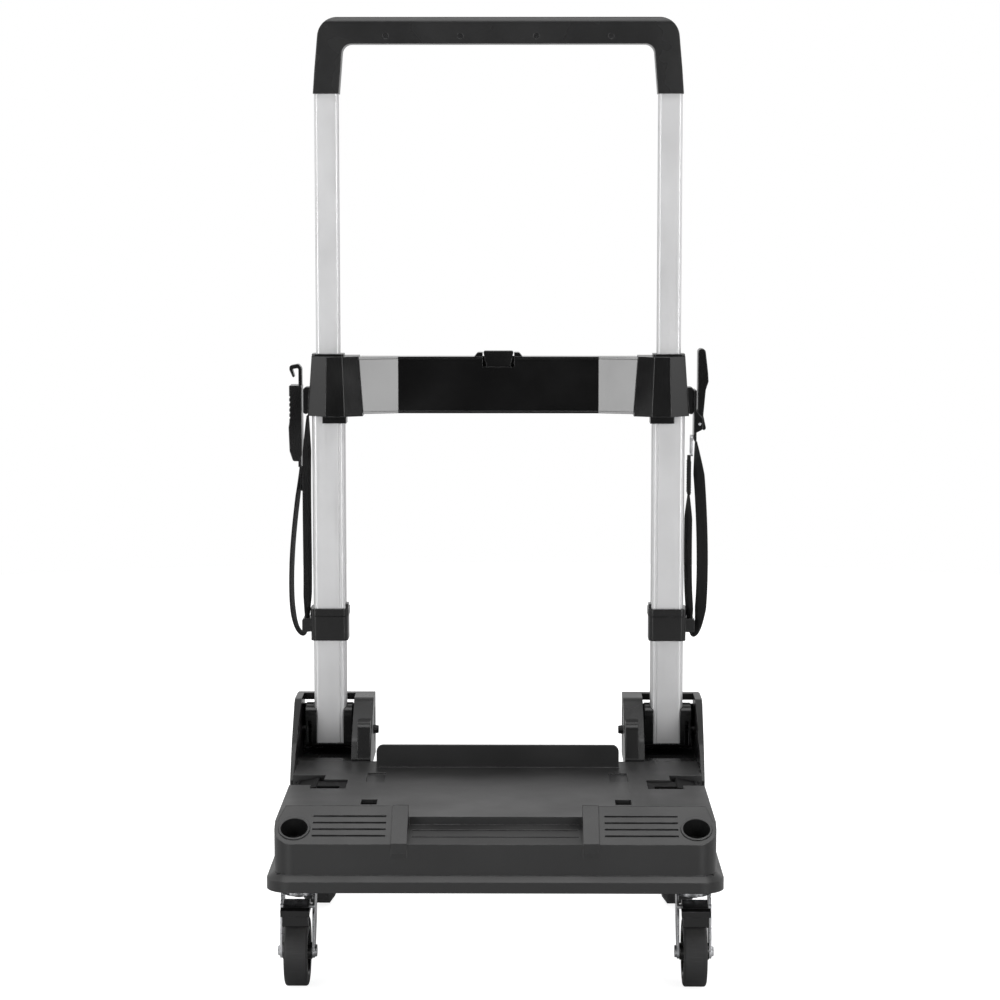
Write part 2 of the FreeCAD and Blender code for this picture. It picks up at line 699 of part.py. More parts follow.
def outer_cheek():
    """The flared outer wall: its plan outline limited by its side profile."""
    front = S["outer_cheek_front_y"]
    rear = S["cheek_rear_y"]
    low = lip_top
    near = body_half + S["side_gap"]
    plan = slab("outer_cheek_plan", "XY", [
        (near, front), (outer_cheek_x - S["outer_cheek_flare"], front),
        (outer_cheek_x, S["pivot_y"] - 20), (outer_cheek_x, rear, 6),
        (outer_cheek_x - S["outer_cheek_thick"], rear),
        (outer_cheek_x - S["outer_cheek_thick"], deck_rear_y + 1), (near, deck_rear_y + 1),
    ], low, S["cheek_top"])
    side = slab("outer_cheek_side", "YZ", [
        (front, low), (deck_rear_y, low), (deck_rear_y + 8, wheel_top), (rear, wheel_top),
        (rear, S["cheek_top"], 6), (S["pivot_y"] - 12, S["cheek_top"], 10),
        (deck_rear_y - 20, S["deck_top"] + 26, 30), (front, S["deck_top"] - 8, 6),
    ], near - 2, outer_cheek_x + 2)
    return common("outer_cheek", plan, side)


wheel_top = S["rear_radius"] * 2 + 6


def housing():
    """The hinge housing: cheeks, floor, bridge and the leg down to the axle."""
    rear = S["cheek_rear_y"]
    front = deck_rear_y + S["side_gap"]
    low = S["well_floor"] - S["well_thick"]
    inner = S["cheek_inner_x"]
    outer = outer_cheek_x - 1
    floor = block("housing_floor", (inner, outer), (front, rear), (low, S["well_floor"]))
    ledge = block("housing_ledge", (inner, outer - 6), (front, front + 18),
                  (S["well_floor"] - 2, S["deck_top"]))
    bridge_y = rear - S["bridge_depth"]
    bridge = block("housing_bridge", (inner, outer), (bridge_y, rear),
                   (S["cheek_top"] - S["bridge_thick"], S["cheek_top"]))
    leg = slab("housing_leg", "YZ", [
        (front, low + 2), (front, S["lip_bottom"] + 10, 10),
        (S["axle_y"] - S["leg_boss"], S["rear_radius"] - S["leg_boss"], 12),
        (S["axle_y"] + S["leg_boss"], S["rear_radius"] - S["leg_boss"], 20), (rear, low + 2),
    ], S["leg_inner_x"], S["leg_inner_x"] + S["leg_thick"])
    stiffener = block("housing_stiffener", (inner, S["leg_inner_x"] + 1), (front, front + 5),
                      (S["lip_bottom"] + 4, low + 1))
    back_wall = block("housing_back_wall", (inner, outer), (rear - S["back_wall_thick"], rear),
                      (low, S["cheek_top"] - S["bridge_thick"] - S["back_slot"]))
    pieces = inner_cheek() + [outer_cheek(), floor, ledge, bridge, back_wall, leg, stiffener]
    axle_bore = rod("housing_axle_bore", "X", (inner - 20, S["axle_y"], S["rear_radius"]), 80,
                    S["axle_radius"])
    pin_bore = rod("housing_pin_bore", "X", (inner - 10, S["pivot_y"], S["pivot_z"]), 120,
                   S["pin_radius"])
    window = slab("cheek_window", "YZ", [
        (S["pivot_y"] + 12, S["well_floor"] + 8, 3), (rear - 7, S["well_floor"] + 8, 3),
        (rear - 7, S["cheek_top"] - 16, 3), (S["pivot_y"] + 12, S["cheek_top"] - 16, 3),
    ], inner - 1, inner + S["cheek_thick"] - 5)
    pair("hinge_housing", cut("hinge_housing", fuse("housing_blank", pieces),
                              [axle_bore, pin_bore, window]))


def housing_screws():
    """Four screws that hold each housing to the rear of the deck."""
    def screw(name, x, z):
        return turned(name, [(0, 0), (-2.5, 0), (-2.5, 4), (0, 4)],
                      (x, deck_rear_y - S["deck_skin"], z), "Y")
    screws = []
    for index, x in enumerate((S["leg_inner_x"] + 8, S["leg_inner_x"] + 42)):
        z = S["lip_bottom"] + 30
        screws += both_sides(f"housing_screw{index}", lambda name, at=x, up=z: screw(name, at, up))
    node(group("housing_screw_set", screws), "housing_screws")


def hinge_pins():
    """The headed pins that the posts fold about."""
    head = S["pin_head"]
    start = S["cheek_inner_x"] - head
    length = outer_cheek_x - 2 - start
    pins = both_sides("hinge_pin", lambda name: turned(name, [
        (0, 0), (length, 0), (length, S["pin_radius"]), (head, S["pin_radius"]),
        (head, S["pin_radius"] + 1.5), (0, S["pin_radius"] + 0.5),
    ], (start, S["pivot_y"], S["pivot_z"])))
    node(group("hinge_pin_set", pins), "hinge_pins")


# ------------------------------------------------------------------ rear wheels

def rear_wheels():
    """Each rear wheel: a rubber tyre on a spoked plastic hub, on one axle."""
    radius, rim = S["rear_radius"], S["rear_rim"]
    width = S["rear_width"]
    centre = (S["rear_inner_x"], S["axle_y"], radius)
    tyre = turned("rear_tyre", [
        (1, rim), (width - 1, rim), (width - 1, radius - 8, 3), (width - 7, radius, 5),
        (7, radius, 5), (1, radius - 8, 3),
    ], centre)
    pair("rear_tyre", tyre)
    boss, bore = S["rear_hub_boss"], S["axle_radius"] + S["fit_gap"]
    half = width / 2
    inner_end = S["leg_inner_x"] + S["leg_thick"] - S["rear_inner_x"] + S["side_gap"]
    hub = turned("rear_hub_blank", [
        (inner_end, bore), (width, bore), (width, boss), (half + 4, boss), (half + 4, rim - 6),
        (width - 2, rim - 3), (width - 2, rim), (2, rim), (2, rim - 3), (half - 4, rim - 6),
        (half - 4, boss), (inner_end, boss),
    ], centre)
    holes = []
    middle = (boss + rim - 6) / 2
    for index in range(5):
        angle = 2 * math.pi * index / 5 + math.pi / 2
        holes.append(rod(f"rear_hub_hole{index}", "X", (
            S["rear_inner_x"], S["axle_y"] + middle * math.cos(angle),
            radius + middle * math.sin(angle)), width, (rim - boss) / 4))
    pair("rear_hub", cut("rear_hub", hub, holes))
    axle_end = wheel_outer_x + S["axle_cap_thick"] - 1
    node(rod("rear_axle_rod", "X", (-axle_end, S["axle_y"], radius), axle_end * 2, S["axle_radius"]),
         "rear_axle")
    cap_x = wheel_outer_x + 0.4
    caps = both_sides("axle_cap", lambda name: turned(name, [
        (0, S["axle_radius"]), (axle_end - cap_x, S["axle_radius"]), (axle_end - cap_x, 0),
        (S["axle_cap_thick"], 0), (S["axle_cap_thick"], S["axle_cap_radius"] - 4),
        (1.5, S["axle_cap_radius"]), (0, S["axle_cap_radius"]),
    ], (cap_x, S["axle_y"], radius)))
    node(group("axle_cap_set", caps), "axle_caps")


# ---------------------------------------------------------------------- casters

def caster_screw_places():
    reach = S["caster_plate_size"] / 2 - 7
    return [(S["caster_x"] + reach * along, caster_y + reach * across)
            for along in (-1, 1) for across in (-1, 1)]


def casters():
    """Two braked swivel casters under the front corners."""
    x, top = S["caster_x"], S["caster_plate_top"]
    half = S["caster_plate_size"] / 2
    under = top - S["caster_plate_thick"]
    plate = slab("caster_top_plate", "XY", rectangle(x - half, x + half, caster_y - half,
                                                     caster_y + half, 6), under, top)
    kingpin_end = S["crown_top"] - S["crown_thick"] - 3.5
    race = turned("caster_race", [
        (0, 0), (under - kingpin_end, 0), (under - kingpin_end, S["race_radius"] - 2),
        (S["race_bottom"] - kingpin_end, S["race_radius"]),
        (S["race_bottom"] - kingpin_end, S["kingpin_radius"]),
        (3, S["kingpin_radius"]), (3, S["kingpin_radius"] + 3.5), (0, S["kingpin_radius"] + 2.5),
    ], (x, caster_y, kingpin_end), "Z")
    holes = [rod(f"plate_hole{index}", "Z", (at_x, at_y, under - 1), S["caster_plate_thick"] + 2, 2.6)
             for index, (at_x, at_y) in enumerate(caster_screw_places())]
    pair("caster_plate", cut("caster_plate", fuse("caster_plate_blank", [plate, race]), holes))
    screws = []
    for index, (at_x, at_y) in enumerate(caster_screw_places()):
        screws += both_sides(f"caster_screw{index}", lambda name, px=at_x, py=at_y: turned(name, [
            (0, 0), (2.6 + S["caster_plate_thick"], 0), (2.6 + S["caster_plate_thick"], 2.5),
            (2.6, 2.5), (2.6, 4.5), (0, 4.5),
        ], (px, py, under - 2.6), "Z"))
    node(group("caster_screw_set", screws), "caster_screws")
    caster_fork()
    caster_wheel()
    brake_pedal()


def caster_fork():
    """The swivelling fork: its crown, lower race and two legs."""
    x = S["caster_x"]
    top, half, thick = S["crown_top"], S["fork_half"], S["fork_thick"]
    low = top - S["crown_thick"]
    radius = S["caster_radius"]
    crown = turned("fork_crown", [
        (0, S["kingpin_radius"] + S["fit_gap"]), (S["race_bottom"] - low - 0.15,
                                                 S["kingpin_radius"] + S["fit_gap"]),
        (S["race_bottom"] - low - 0.15, S["race_radius"] - 2.5), (S["crown_thick"], S["race_radius"]),
        (0, S["race_radius"]),
    ], (x, caster_y, low), "Z")
    legs = []
    for index, side in enumerate((-1, 1)):
        inner, outer = sorted((x + (half - thick) * side, x + half * side), key=lambda at: at.value)
        legs.append(slab(f"fork_leg{index}", "YZ", [
            (caster_y + 13, top, 3), (caster_y - 15, top, 3), (caster_y - 26, top - 22, 6),
            (caster_axle_y - 8, radius - 8, 7), (caster_axle_y + 8, radius - 8, 7),
            (caster_y + 6, radius + 26, 10),
        ], inner, outer))
    holes = [rod("fork_axle_hole", "X", (x - half - 1, caster_axle_y, radius), half * 2 + 2,
                 S["caster_axle_radius"]),
             rod("fork_pedal_hole", "X", (x - half - 1, pedal_y, pedal_z), half * 2 + 2,
                 S["pedal_pin_radius"])]
    fork = cut("fork_drilled", fuse("fork_blank", [crown] + legs), holes)
    pins = rod("fork_pedal_pin", "X", (x - half, pedal_y, pedal_z), half * 2, S["pedal_pin_radius"])
    pair("caster_fork", fuse("caster_fork", [fork, pins]))
    bolt_half = half + 2.5
    bolt = turned("caster_bolt", [
        (-bolt_half, 0), (bolt_half, 0), (bolt_half, 5), (half, 6), (half, S["caster_axle_radius"]),
        (-half, S["caster_axle_radius"]), (-half, 6.5), (-bolt_half, 6.5),
    ], (x, caster_axle_y, radius))
    pair("caster_axle", bolt)


pedal_y = caster_y - 22
pedal_z = S["pedal_top"] - 9


def caster_wheel():
    x, radius, rim = S["caster_x"], S["caster_radius"], S["caster_rim"]
    half = S["caster_width"] / 2
    tyre = turned("caster_tyre", [
        (-half, rim), (half, rim), (half, radius, 3), (-half, radius, 3),
    ], (x, caster_axle_y, radius))
    pair("caster_tyre", tyre)
    bore, boss = S["caster_axle_radius"] + S["fit_gap"], S["caster_axle_radius"] + 5
    side = S["fork_half"] - S["fork_thick"] - 0.2
    hub = turned("caster_hub", [
        (-side, bore), (side, bore), (side, boss), (half - 5, boss + 1), (half - 5, rim - 4),
        (half, rim - 2), (half, rim), (-half, rim), (-half, rim - 2), (5 - half, rim - 4),
        (5 - half, boss + 1), (-side, boss),
    ], (x, caster_axle_y, radius))
    pair("caster_hub", hub)


def brake_pedal():
    """The plastic brake pedal that covers the front of the caster wheel."""
    x = S["caster_x"]
    half = S["pedal_half"]
    front = caster_y - 56
    pedal = slab("pedal_blade", "YZ", [
        (pedal_y + 6, pedal_z - 5, 3), (pedal_y + 6, S["pedal_top"] - 3, 3),
        (pedal_y - 6, S["pedal_top"], 4), (front, S["pedal_top"] - 7, 2),
        (front + 2, S["pedal_top"] - 24, 2), (front + 6, S["pedal_top"] - 24, 1.5),
        (front + 8, S["pedal_top"] - 15, 3), (pedal_y - 8, pedal_z - 5, 3),
    ], x - half, x + half)
    lip = slab("pedal_lip", "YZ", [
        (front - 2.5, S["pedal_top"] - 5), (front + 4.5, S["pedal_top"] - 3),
        (front + 4.5, S["pedal_top"] - 9), (front - 1, S["pedal_top"] - 12),
    ], x - half - S["pedal_lip_proud"], x + half + S["pedal_lip_proud"])
    bore = rod("pedal_bore", "X", (x - 30, pedal_y, pedal_z), 60, S["pedal_pin_radius"] + S["fit_gap"])
    pair("brake_pedal", cut("brake_pedal", fuse("pedal_blank", [pedal, lip]), [bore]))


# ------------------------------------------------------------------------ posts

def tube(name, width, depth, wall, corner, low, high):
    """A rounded rectangular tube about the post's centre line."""
    centre = (S["post_x"], post_y)
    ring = around(*centre, width, depth, corner)
    inside = around(*centre, width - wall * 2, depth - wall * 2, corner - wall)
    return slab(name, "XY", ring, low, high, [inside])


def posts():
    outer = tube("outer_tube_profile", S["outer_width"], S["outer_depth"], S["outer_wall"],
                 S["outer_corner"], S["outer_bottom"], S["outer_top"])
    bore = rod("outer_tube_bore", "X", (post_inner_x - 5, S["pivot_y"], S["pivot_z"]),
               S["outer_width"] + 10, S["pin_radius"] + S["fit_gap"])
    rod_way = rod("outer_tube_rod_way", "X", (post_inner_x - 5, rod_y, S["rod_z"]),
                  S["outer_width"] / 2, S["rod_radius"] + S["rod_gap"])
    bead_x = post_inner_x + 6.7
    bead = block("outer_tube_bead", (bead_x - 0.5, bead_x + 0.5),
                 (S["post_front_y"] - 1, S["post_front_y"] + 0.6),
                 (S["outer_bottom"] - 1, S["outer_top"] + 1))
    pair("outer_tube", cut("outer_tube", outer, [bore, rod_way, bead]))
    inner_top = S["grip_leg_bottom"] + 22
    inner = tube("inner_tube_profile", S["inner_width"], S["inner_depth"], S["inner_wall"],
                 S["inner_corner"], S["inner_bottom"], inner_top)
    holes = []
    for index in range(2):
        rise = S["slide_travel"] * index
        holes.append(rod(f"inner_tube_hole{index}", "X", (
            S["post_x"] - S["inner_width"], rod_y, S["rod_z"] + rise), S["inner_width"],
            S["lock_hole_radius"]))
    pair("inner_tube", cut("inner_tube", inner, holes))
    glides_and_bushes()
    post_shoe()


def glides_and_bushes():
    """The bush at the outer tube's mouth and the glide on the inner tube's end."""
    gap = S["slide_gap"]
    centre = (S["post_x"], post_y)
    inside_width = S["outer_width"] - S["outer_wall"] * 2
    inside_depth = S["outer_depth"] - S["outer_wall"] * 2
    corner = S["outer_corner"] - S["outer_wall"]
    hole = around(*centre, S["inner_width"] + gap * 2, S["inner_depth"] + gap * 2,
                  S["inner_corner"] + gap)
    sleeve = slab("bush_sleeve", "XY", around(*centre, inside_width, inside_depth, corner),
                  S["outer_top"] - 40, S["outer_top"], [hole])
    head = slab("bush_head", "XY", around(*centre, inside_width, inside_depth, corner),
                S["outer_top"] - 1, S["bracket_top"] + 2.5, [hole])
    flange = slab("bush_flange", "XY", around(*centre, inside_width + 3, inside_depth + 3, corner),
                  S["bracket_top"], S["bracket_top"] + 2.5, [hole])
    pin_way = rod("bush_rod_way", "X", (post_inner_x - 2, rod_y, S["rod_z"]), S["outer_width"] / 2,
                  S["rod_radius"] + S["rod_gap"])
    bush = cut("tube_bush_right_solid", fuse("tube_bush_blank", [sleeve, head, flange]), [pin_way])
    node(group("tube_bush_set", [bush, mirrored("tube_bush_left_solid", bush)]), "tube_bushes")
    low = S["inner_bottom"] - 8
    glide_outer = around(*centre, inside_width - gap * 2, inside_depth - gap * 2, corner)
    foot = slab("glide_foot", "XY", glide_outer, low, S["inner_bottom"])
    plug = slab("glide_plug", "XY", around(
        *centre, S["inner_width"] - S["inner_wall"] * 2, S["inner_depth"] - S["inner_wall"] * 2,
        S["inner_corner"] - S["inner_wall"]), S["inner_bottom"], S["inner_bottom"] + 16)
    glide = fuse("glide_block_right_solid", [foot, plug])
    node(group("glide_block_set", [glide, mirrored("glide_block_left", glide)]), "glide_blocks")


def post_shoe():
    """The plastic shoe that holds a post's foot and turns on the hinge pin."""
    wrap, lip = S["shoe_wrap"], S["shoe_lip"]
    front, rear = S["post_front_y"] - wrap, post_back_y + wrap
    low = S["outer_bottom"] - S["shoe_floor"]
    side = [
        (front, low, 6), (rear, low, 6), (rear, S["shoe_top"], 10), (front, S["shoe_top"], 12),
    ]
    solid = slab("shoe_solid", "YZ", side, S["shoe_inner_x"], S["shoe_outer_x"])
    seat = slab("shoe_seat", "XY", around(S["post_x"], post_y, S["outer_width"], S["outer_depth"],
                                          S["outer_corner"]), S["outer_bottom"], S["shoe_top"] + 5)
    window = block("shoe_window", (post_inner_x + lip, post_outer_x - lip), (front - 5, post_y),
                   (S["outer_bottom"], S["shoe_top"] + 5))
    relief = block("shoe_relief", (post_outer_x + 3, post_outer_x + 7), (front - 1, front + 12),
                   (low - 1, S["shoe_top"] - 18))
    bore = rod("shoe_bore", "X", (S["shoe_inner_x"] - 5, S["pivot_y"], S["pivot_z"]), 80,
               S["pin_radius"] + S["fit_gap"])
    pair("post_shoe", cut("post_shoe", solid, [seat, window, relief, bore]))


# ---------------------------------------------------------- brackets and brace

def bracket_outline(grow):
    """The bracket's plan outline, wider by grow towards its foot."""
    front, back = S["bracket_front_y"], S["bracket_back_y"]
    end_y = S["panel_end_y"]
    return [
        (S["panel_end_x"] + 2.5 - grow, back), (S["panel_end_x"] + 2.5 - grow, end_y),
        (post_inner_x + 1.5 - grow / 2, front), (S["post_x"] + 0.7 + grow / 3, front),
        (post_outer_x + grow, front + 16), (post_outer_x + grow, back),
    ]


def brackets():
    """Each corner bracket clamps an outer tube and carries the brace's end."""
    shell = lofted("bracket_loft", [
        (S["bracket_bottom"], bracket_outline(as_size(5))), (S["bracket_top"], bracket_outline(as_size(0))),
    ])
    front = S["bracket_front_y"]
    foot = block("bracket_foot", (S["post_x"] - 22, S["post_x"] + 6), (front + 3, post_y),
                 (S["bracket_bottom"] - S["bracket_block"], S["bracket_bottom"] + 3))
    lug = slab("bracket_lug", "XZ", [
        (post_outer_x, S["lug_from_z"]), (S["lug_x"] - 1, S["lug_from_z"] - 4, 3),
        (S["lug_x"] - 1, S["lug_to_z"], 4), (post_outer_x, S["lug_to_z"]),
    ], post_y - 9, post_y + 9)
    seat = slab("bracket_tube_seat", "XY", around(S["post_x"], post_y, S["outer_width"],
                                                  S["outer_depth"], S["outer_corner"]),
                S["bracket_bottom"] - 20, S["outer_top"])
    mouth = slab("bracket_mouth", "XY", around(
        S["post_x"], post_y, S["outer_width"] - S["outer_wall"] * 2,
        S["outer_depth"] - S["outer_wall"] * 2, S["outer_corner"] - S["outer_wall"]),
        S["outer_top"] - 1, S["bracket_top"] + 5)
    rod_way = rod("bracket_rod_way", "X", (S["panel_end_x"] - 10, rod_y, S["rod_z"]),
                  post_inner_x - S["panel_end_x"] + 14, S["rod_radius"] + S["rod_gap"])
    pair("corner_bracket", cut("corner_bracket", fuse("bracket_blank", [shell, foot, lug]),
                               [seat, mouth, rod_way]))


def brace_end_cut(name):
    """Trims one end of the brace along the bracket's sloped side."""
    low, high, end = S["panel_bottom"] - 1, S["panel_top"] + 1, S["panel_end_x"]
    return slab(name, "XZ", [
        (end - 2.9, low), (end + 2, high), (end + 8, high), (end + 8, low),
    ], S["panel_end_y"] - 5, brace_back + 1)


def brace():
    """The folded front panel, the cover behind it and the screws through both."""
    thick = S["panel_thick"]
    end, bend = S["panel_end_x"] + 3, S["panel_bend_x"]
    y_end, y_mid = S["panel_end_y"] + 1.6, S["panel_end_y"] + S["panel_recess"]
    face = slab("panel_face", "XY", [
        (end, y_end), (end, y_end + thick), (bend, y_mid + thick), (-bend, y_mid + thick),
        (-end, y_end + thick), (-end, y_end), (-bend, y_mid), (bend, y_mid),
    ], S["panel_bottom"], S["panel_top"])
    rim = []
    for index, (low, high) in enumerate(((S["panel_bottom"], S["panel_bottom"] + thick),
                                         (S["panel_top"] - thick, S["panel_top"]))):
        rim.append(slab(f"panel_rim{index}", "XY", [
            (end, y_end - 1.5), (end, brace_back - thick), (-end, brace_back - thick),
            (-end, y_end - 1.5), (-bend, y_mid - 1.5), (bend, y_mid - 1.5),
        ], low, high))
    window = S["button_half"] + 0.4
    button_way = block("panel_button_way", (-window, window), (y_mid - 3, brace_back),
                       (S["panel_top"] - 12, S["panel_top"] + 2))
    frame = slab("button_frame", "XZ", [
        (-window - 10, S["panel_top"]), (window + 10, S["panel_top"]),
        (window + 6, S["button_top"] - 1.5, 3), (-window - 6, S["button_top"] - 1.5, 3),
    ], y_mid - 1, brace_back - thick)
    frame_way = block("button_frame_way", (-window, window), (y_mid - 3, brace_back),
                      (S["panel_top"] - 1, S["button_top"] + 2))
    panel = fuse("panel_blank", [face, frame] + rim)
    ends = both_sides("panel_end_cut", brace_end_cut)
    node(cut("panel_solid", panel, [button_way, frame_way] + ends), "brace_panel")
    cover = block("cover_plate", (-end, end), (brace_back - thick, brace_back),
                  (S["panel_bottom"], S["panel_top"]))
    node(cut("cover_solid", cover, both_sides("cover_end_cut", brace_end_cut)), "brace_cover")
    screws = []
    for index, x in enumerate((-120, -60, 60, 120)):
        screws.append(turned(f"brace_screw{index}", [
            (0, 0), (2, 0), (2, 2.5), (0.6, 4), (0, 4),
        ], (x, brace_back, S["rod_z"] - 16), "Y"))
    node(group("brace_screw_set", screws), "brace_screws")




def height_lock():
    """The release button, its spring and the two rods that it draws inwards."""
    half, top = S["button_half"], S["button_top"]
    back = brace_back - S["panel_thick"] - 0.5
    stem_low = S["rod_z"] + S["rod_radius"] + S["button_travel"] + 3
    head = slab("button_head", "XZ", [
        (4 - half, S["panel_top"] - 12), (half - 4, S["panel_top"] - 12), (half, top, 2),
        (-half, top, 2),
    ], panel_back + 0.5, back)
    stem = block("button_stem", (-6, 6), (panel_back + 0.5, back - 1), (stem_low, S["panel_top"] - 11))
    node(fuse("button_solid", [head, stem]), "release_button")
    spring_low = S["panel_bottom"] + S["panel_thick"]
    wire = 0.9
    spring_y = rod_y + 1.2
    coil = doc.addObject("Part::Helix", "spring_line")
    bind(coil, "Pitch", 4.2)
    bind(coil, "Height", stem_low - spring_low - 2.4)
    bind(coil, "Radius", 3.2)
    locate(coil, 0, spring_y, spring_low + 1.2)
    section = doc.addObject("Part::Circle", "spring_section")
    bind(section, "Radius", wire)
    locate(section, 3.2, spring_y, spring_low + 1.2, rotation=Rotation(Vector(1, 0, 0), 90))
    sweep = doc.addObject("Part::Sweep", "spring_wire")
    sweep.Sections = [section]
    sweep.Spine = (coil, ["Edge1"])
    sweep.Solid = True
    sweep.Frenet = True
    node(sweep, "button_spring")
    tip = post_inner_x + S["outer_wall"] + 1
    start = 16
    lock_rod = turned("lock_rod", [
        (0, 0), (tip - start, 0), (tip - start, S["rod_radius"] - 1), (tip - start - 2, S["rod_radius"]),
        (0, S["rod_radius"]),
    ], (start, rod_y, S["rod_z"]))
    pair("lock_rod", lock_rod)


# -------------------------------------------------------------------- collars

def collars():
    """The strap collar low on each outer tube, with its slotted lug."""
    wrap = S["collar_wrap"]
    low, high = S["collar_bottom"], S["collar_top"]
    ring = around(S["post_x"], post_y, S["outer_width"] + wrap * 2, S["outer_depth"] + wrap * 2 + 2,
                  S["outer_corner"] + 1)
    band = slab("collar_band", "XY", ring, low, high)
    brim = slab("collar_brim", "XY", around(
        S["post_x"], post_y, S["outer_width"] + wrap * 2 + 1.6, S["outer_depth"] + wrap * 2 + 3.6,
        S["outer_corner"] + 1.8), high - 9, high)
    fin = block("collar_fin", (post_inner_x - wrap, post_inner_x), (post_y - 10, post_y + 6),
                (high - 2, high + 5))
    lug = slab("collar_lug", "XZ", [
        (post_outer_x, S["collar_lug_low"]), (S["collar_lug_x"] + 5, S["collar_lug_low"] - 1, 2),
        (S["collar_lug_x"] + 5, S["collar_lug_high"], 3), (post_outer_x, S["collar_lug_high"]),
    ], post_y - 14, post_y + 14)
    seat = slab("collar_seat", "XY", around(S["post_x"], post_y, S["outer_width"], S["outer_depth"],
                                            S["outer_corner"]), low - 5, high + 10)
    slot_half = S["strap_width"] / 2 + 1
    slot_x = S["collar_lug_x"]
    slot = block("collar_slot", (slot_x - S["collar_slot_gap"], slot_x + S["collar_slot_gap"]),
                 (S["strap_y"] - slot_half, S["strap_y"] + slot_half),
                 (S["collar_lug_low"] - 5, S["collar_lug_high"] + 5))
    pair("strap_collar", cut("strap_collar", fuse("collar_blank", [band, brim, fin, lug]), [seat, slot]))


# --------------------------------------------------------------------- handle

def handle():
    """The moulded grip over the two inner tubes, and its screws."""
    low, top = S["grip_leg_bottom"], S["handle_top"]
    leg_half = S["inner_width"] / 2 + 0.9
    outer_low = S["post_x"] + leg_half
    inner_low = S["post_x"] - leg_half
    outer_top, thick = S["grip_half_width"], S["grip_thick"]
    inner_top = outer_top - thick + 3
    corner = S["grip_corner"]
    depth = S["grip_depth"] / 2
    bow = slab("grip_bow", "XZ", [
        (outer_low, low), (outer_low - 2, top - 60, 60), (outer_top, top, corner),
        (-outer_top, top, corner), (2 - outer_low, top - 60, 60), (-outer_low, low),
        (-inner_low, low), (-inner_top - 1, top - thick, 11), (inner_top + 1, top - thick, 11),
        (inner_low, low),
    ], post_y - depth, post_y + depth)
    profile = slab("grip_section", "YZ", [
        (post_y - depth, low - 1), (post_y - depth, top, 9), (post_y + depth, top, 9),
        (post_y + depth, low - 1),
    ], -outer_low - 5, outer_low + 5)
    tube_top = low + 22
    seats = both_sides("grip_seat", lambda name: slab(name, "XY", around(
        S["post_x"], post_y, S["inner_width"], S["inner_depth"], S["inner_corner"]), low - 5, tube_top))
    screw_x = (-130, -44, 44, 130)
    holes = []
    screws = []
    for index, x in enumerate(screw_x):
        place = (x, post_y - depth, top - thick * 0.72)
        holes.append(rod(f"grip_hole{index}", "Y", place, 5, S["grip_screw_radius"]))
        screws.append(turned(f"grip_screw{index}", [
            (1.5, 0), (5, 0), (5, S["grip_screw_radius"]), (2, S["grip_screw_radius"]),
        ], place, "Y"))
    node(cut("grip_solid", common("grip_rounded", bow, profile), seats + holes), "handle_grip")
    node(group("grip_screw_set", screws), "grip_screws")


# ------------------------------------------------------------ strap hardware

def hook_buckle():
    """The left strap's buckle body and the hook that stands on it."""
    outer = S["hook_outer_x"]
    low, high = S["hook_body_bottom"], S["hook_body_top"]
    half = S["buckle_depth"] / 2
    inner = S["lug_x"] - 0.5
    body = slab("hook_body_blank", "XZ", [
        (-inner - 1, low + 7, 3), (-inner - 1, high, 1), (-outer + 1, high, 1), (-outer + 1, low + 46, 3),
        (-outer, low + 40, 3), (-outer + 1, low + 12, 3), (-outer + 5, low, 3), (-inner - 4, low, 2),
    ], S["strap_y"] - half, S["strap_y"] + half)
    grooves = [block(f"hook_grip{index}", (-outer - 1, 1.8 - outer), (S["strap_y"] - half, S["strap_y"] + half),
                     (low + 50 + 6 * index, low + 52.5 + 6 * index)) for index in range(5)]
    hook = slab("hook_solid", "XZ", [
        (-inner - 1, high), (-inner - 1, high + 20, 5), (-inner - 5, high + 25, 3),
        (-outer + 1, high + 23, 3), (-outer + 1, high + 18, 2), (-outer + 5, high + 9, 0.8),
        (-outer + 7, high + 10, 0.8), (-outer + 4.5, high + 19, 1.2), (-inner - 5, high + 20, 1.5),
        (-inner - 5, high),
    ], S["strap_y"] - 6, S["strap_y"] + 6)
    node(hook, "strap_hook")
    bar = slab("hook_neck_solid", "XZ", [
        (-inner - 5.5, low - 7, 1), (-inner - 2, low - 7, 1), (-inner - 2, low + 7), (-inner - 5.5, low + 7),
    ], S["strap_y"] - half + 2, S["strap_y"] + half - 2)
    node(cut("hook_body_solid", fuse("hook_body_with_neck", [body, bar]), grooves), "hook_buckle_body")


lever_x = S["lug_x"] + 6
lever_z = S["lug_from_z"] - 14
cam_pin_radius = 1.5


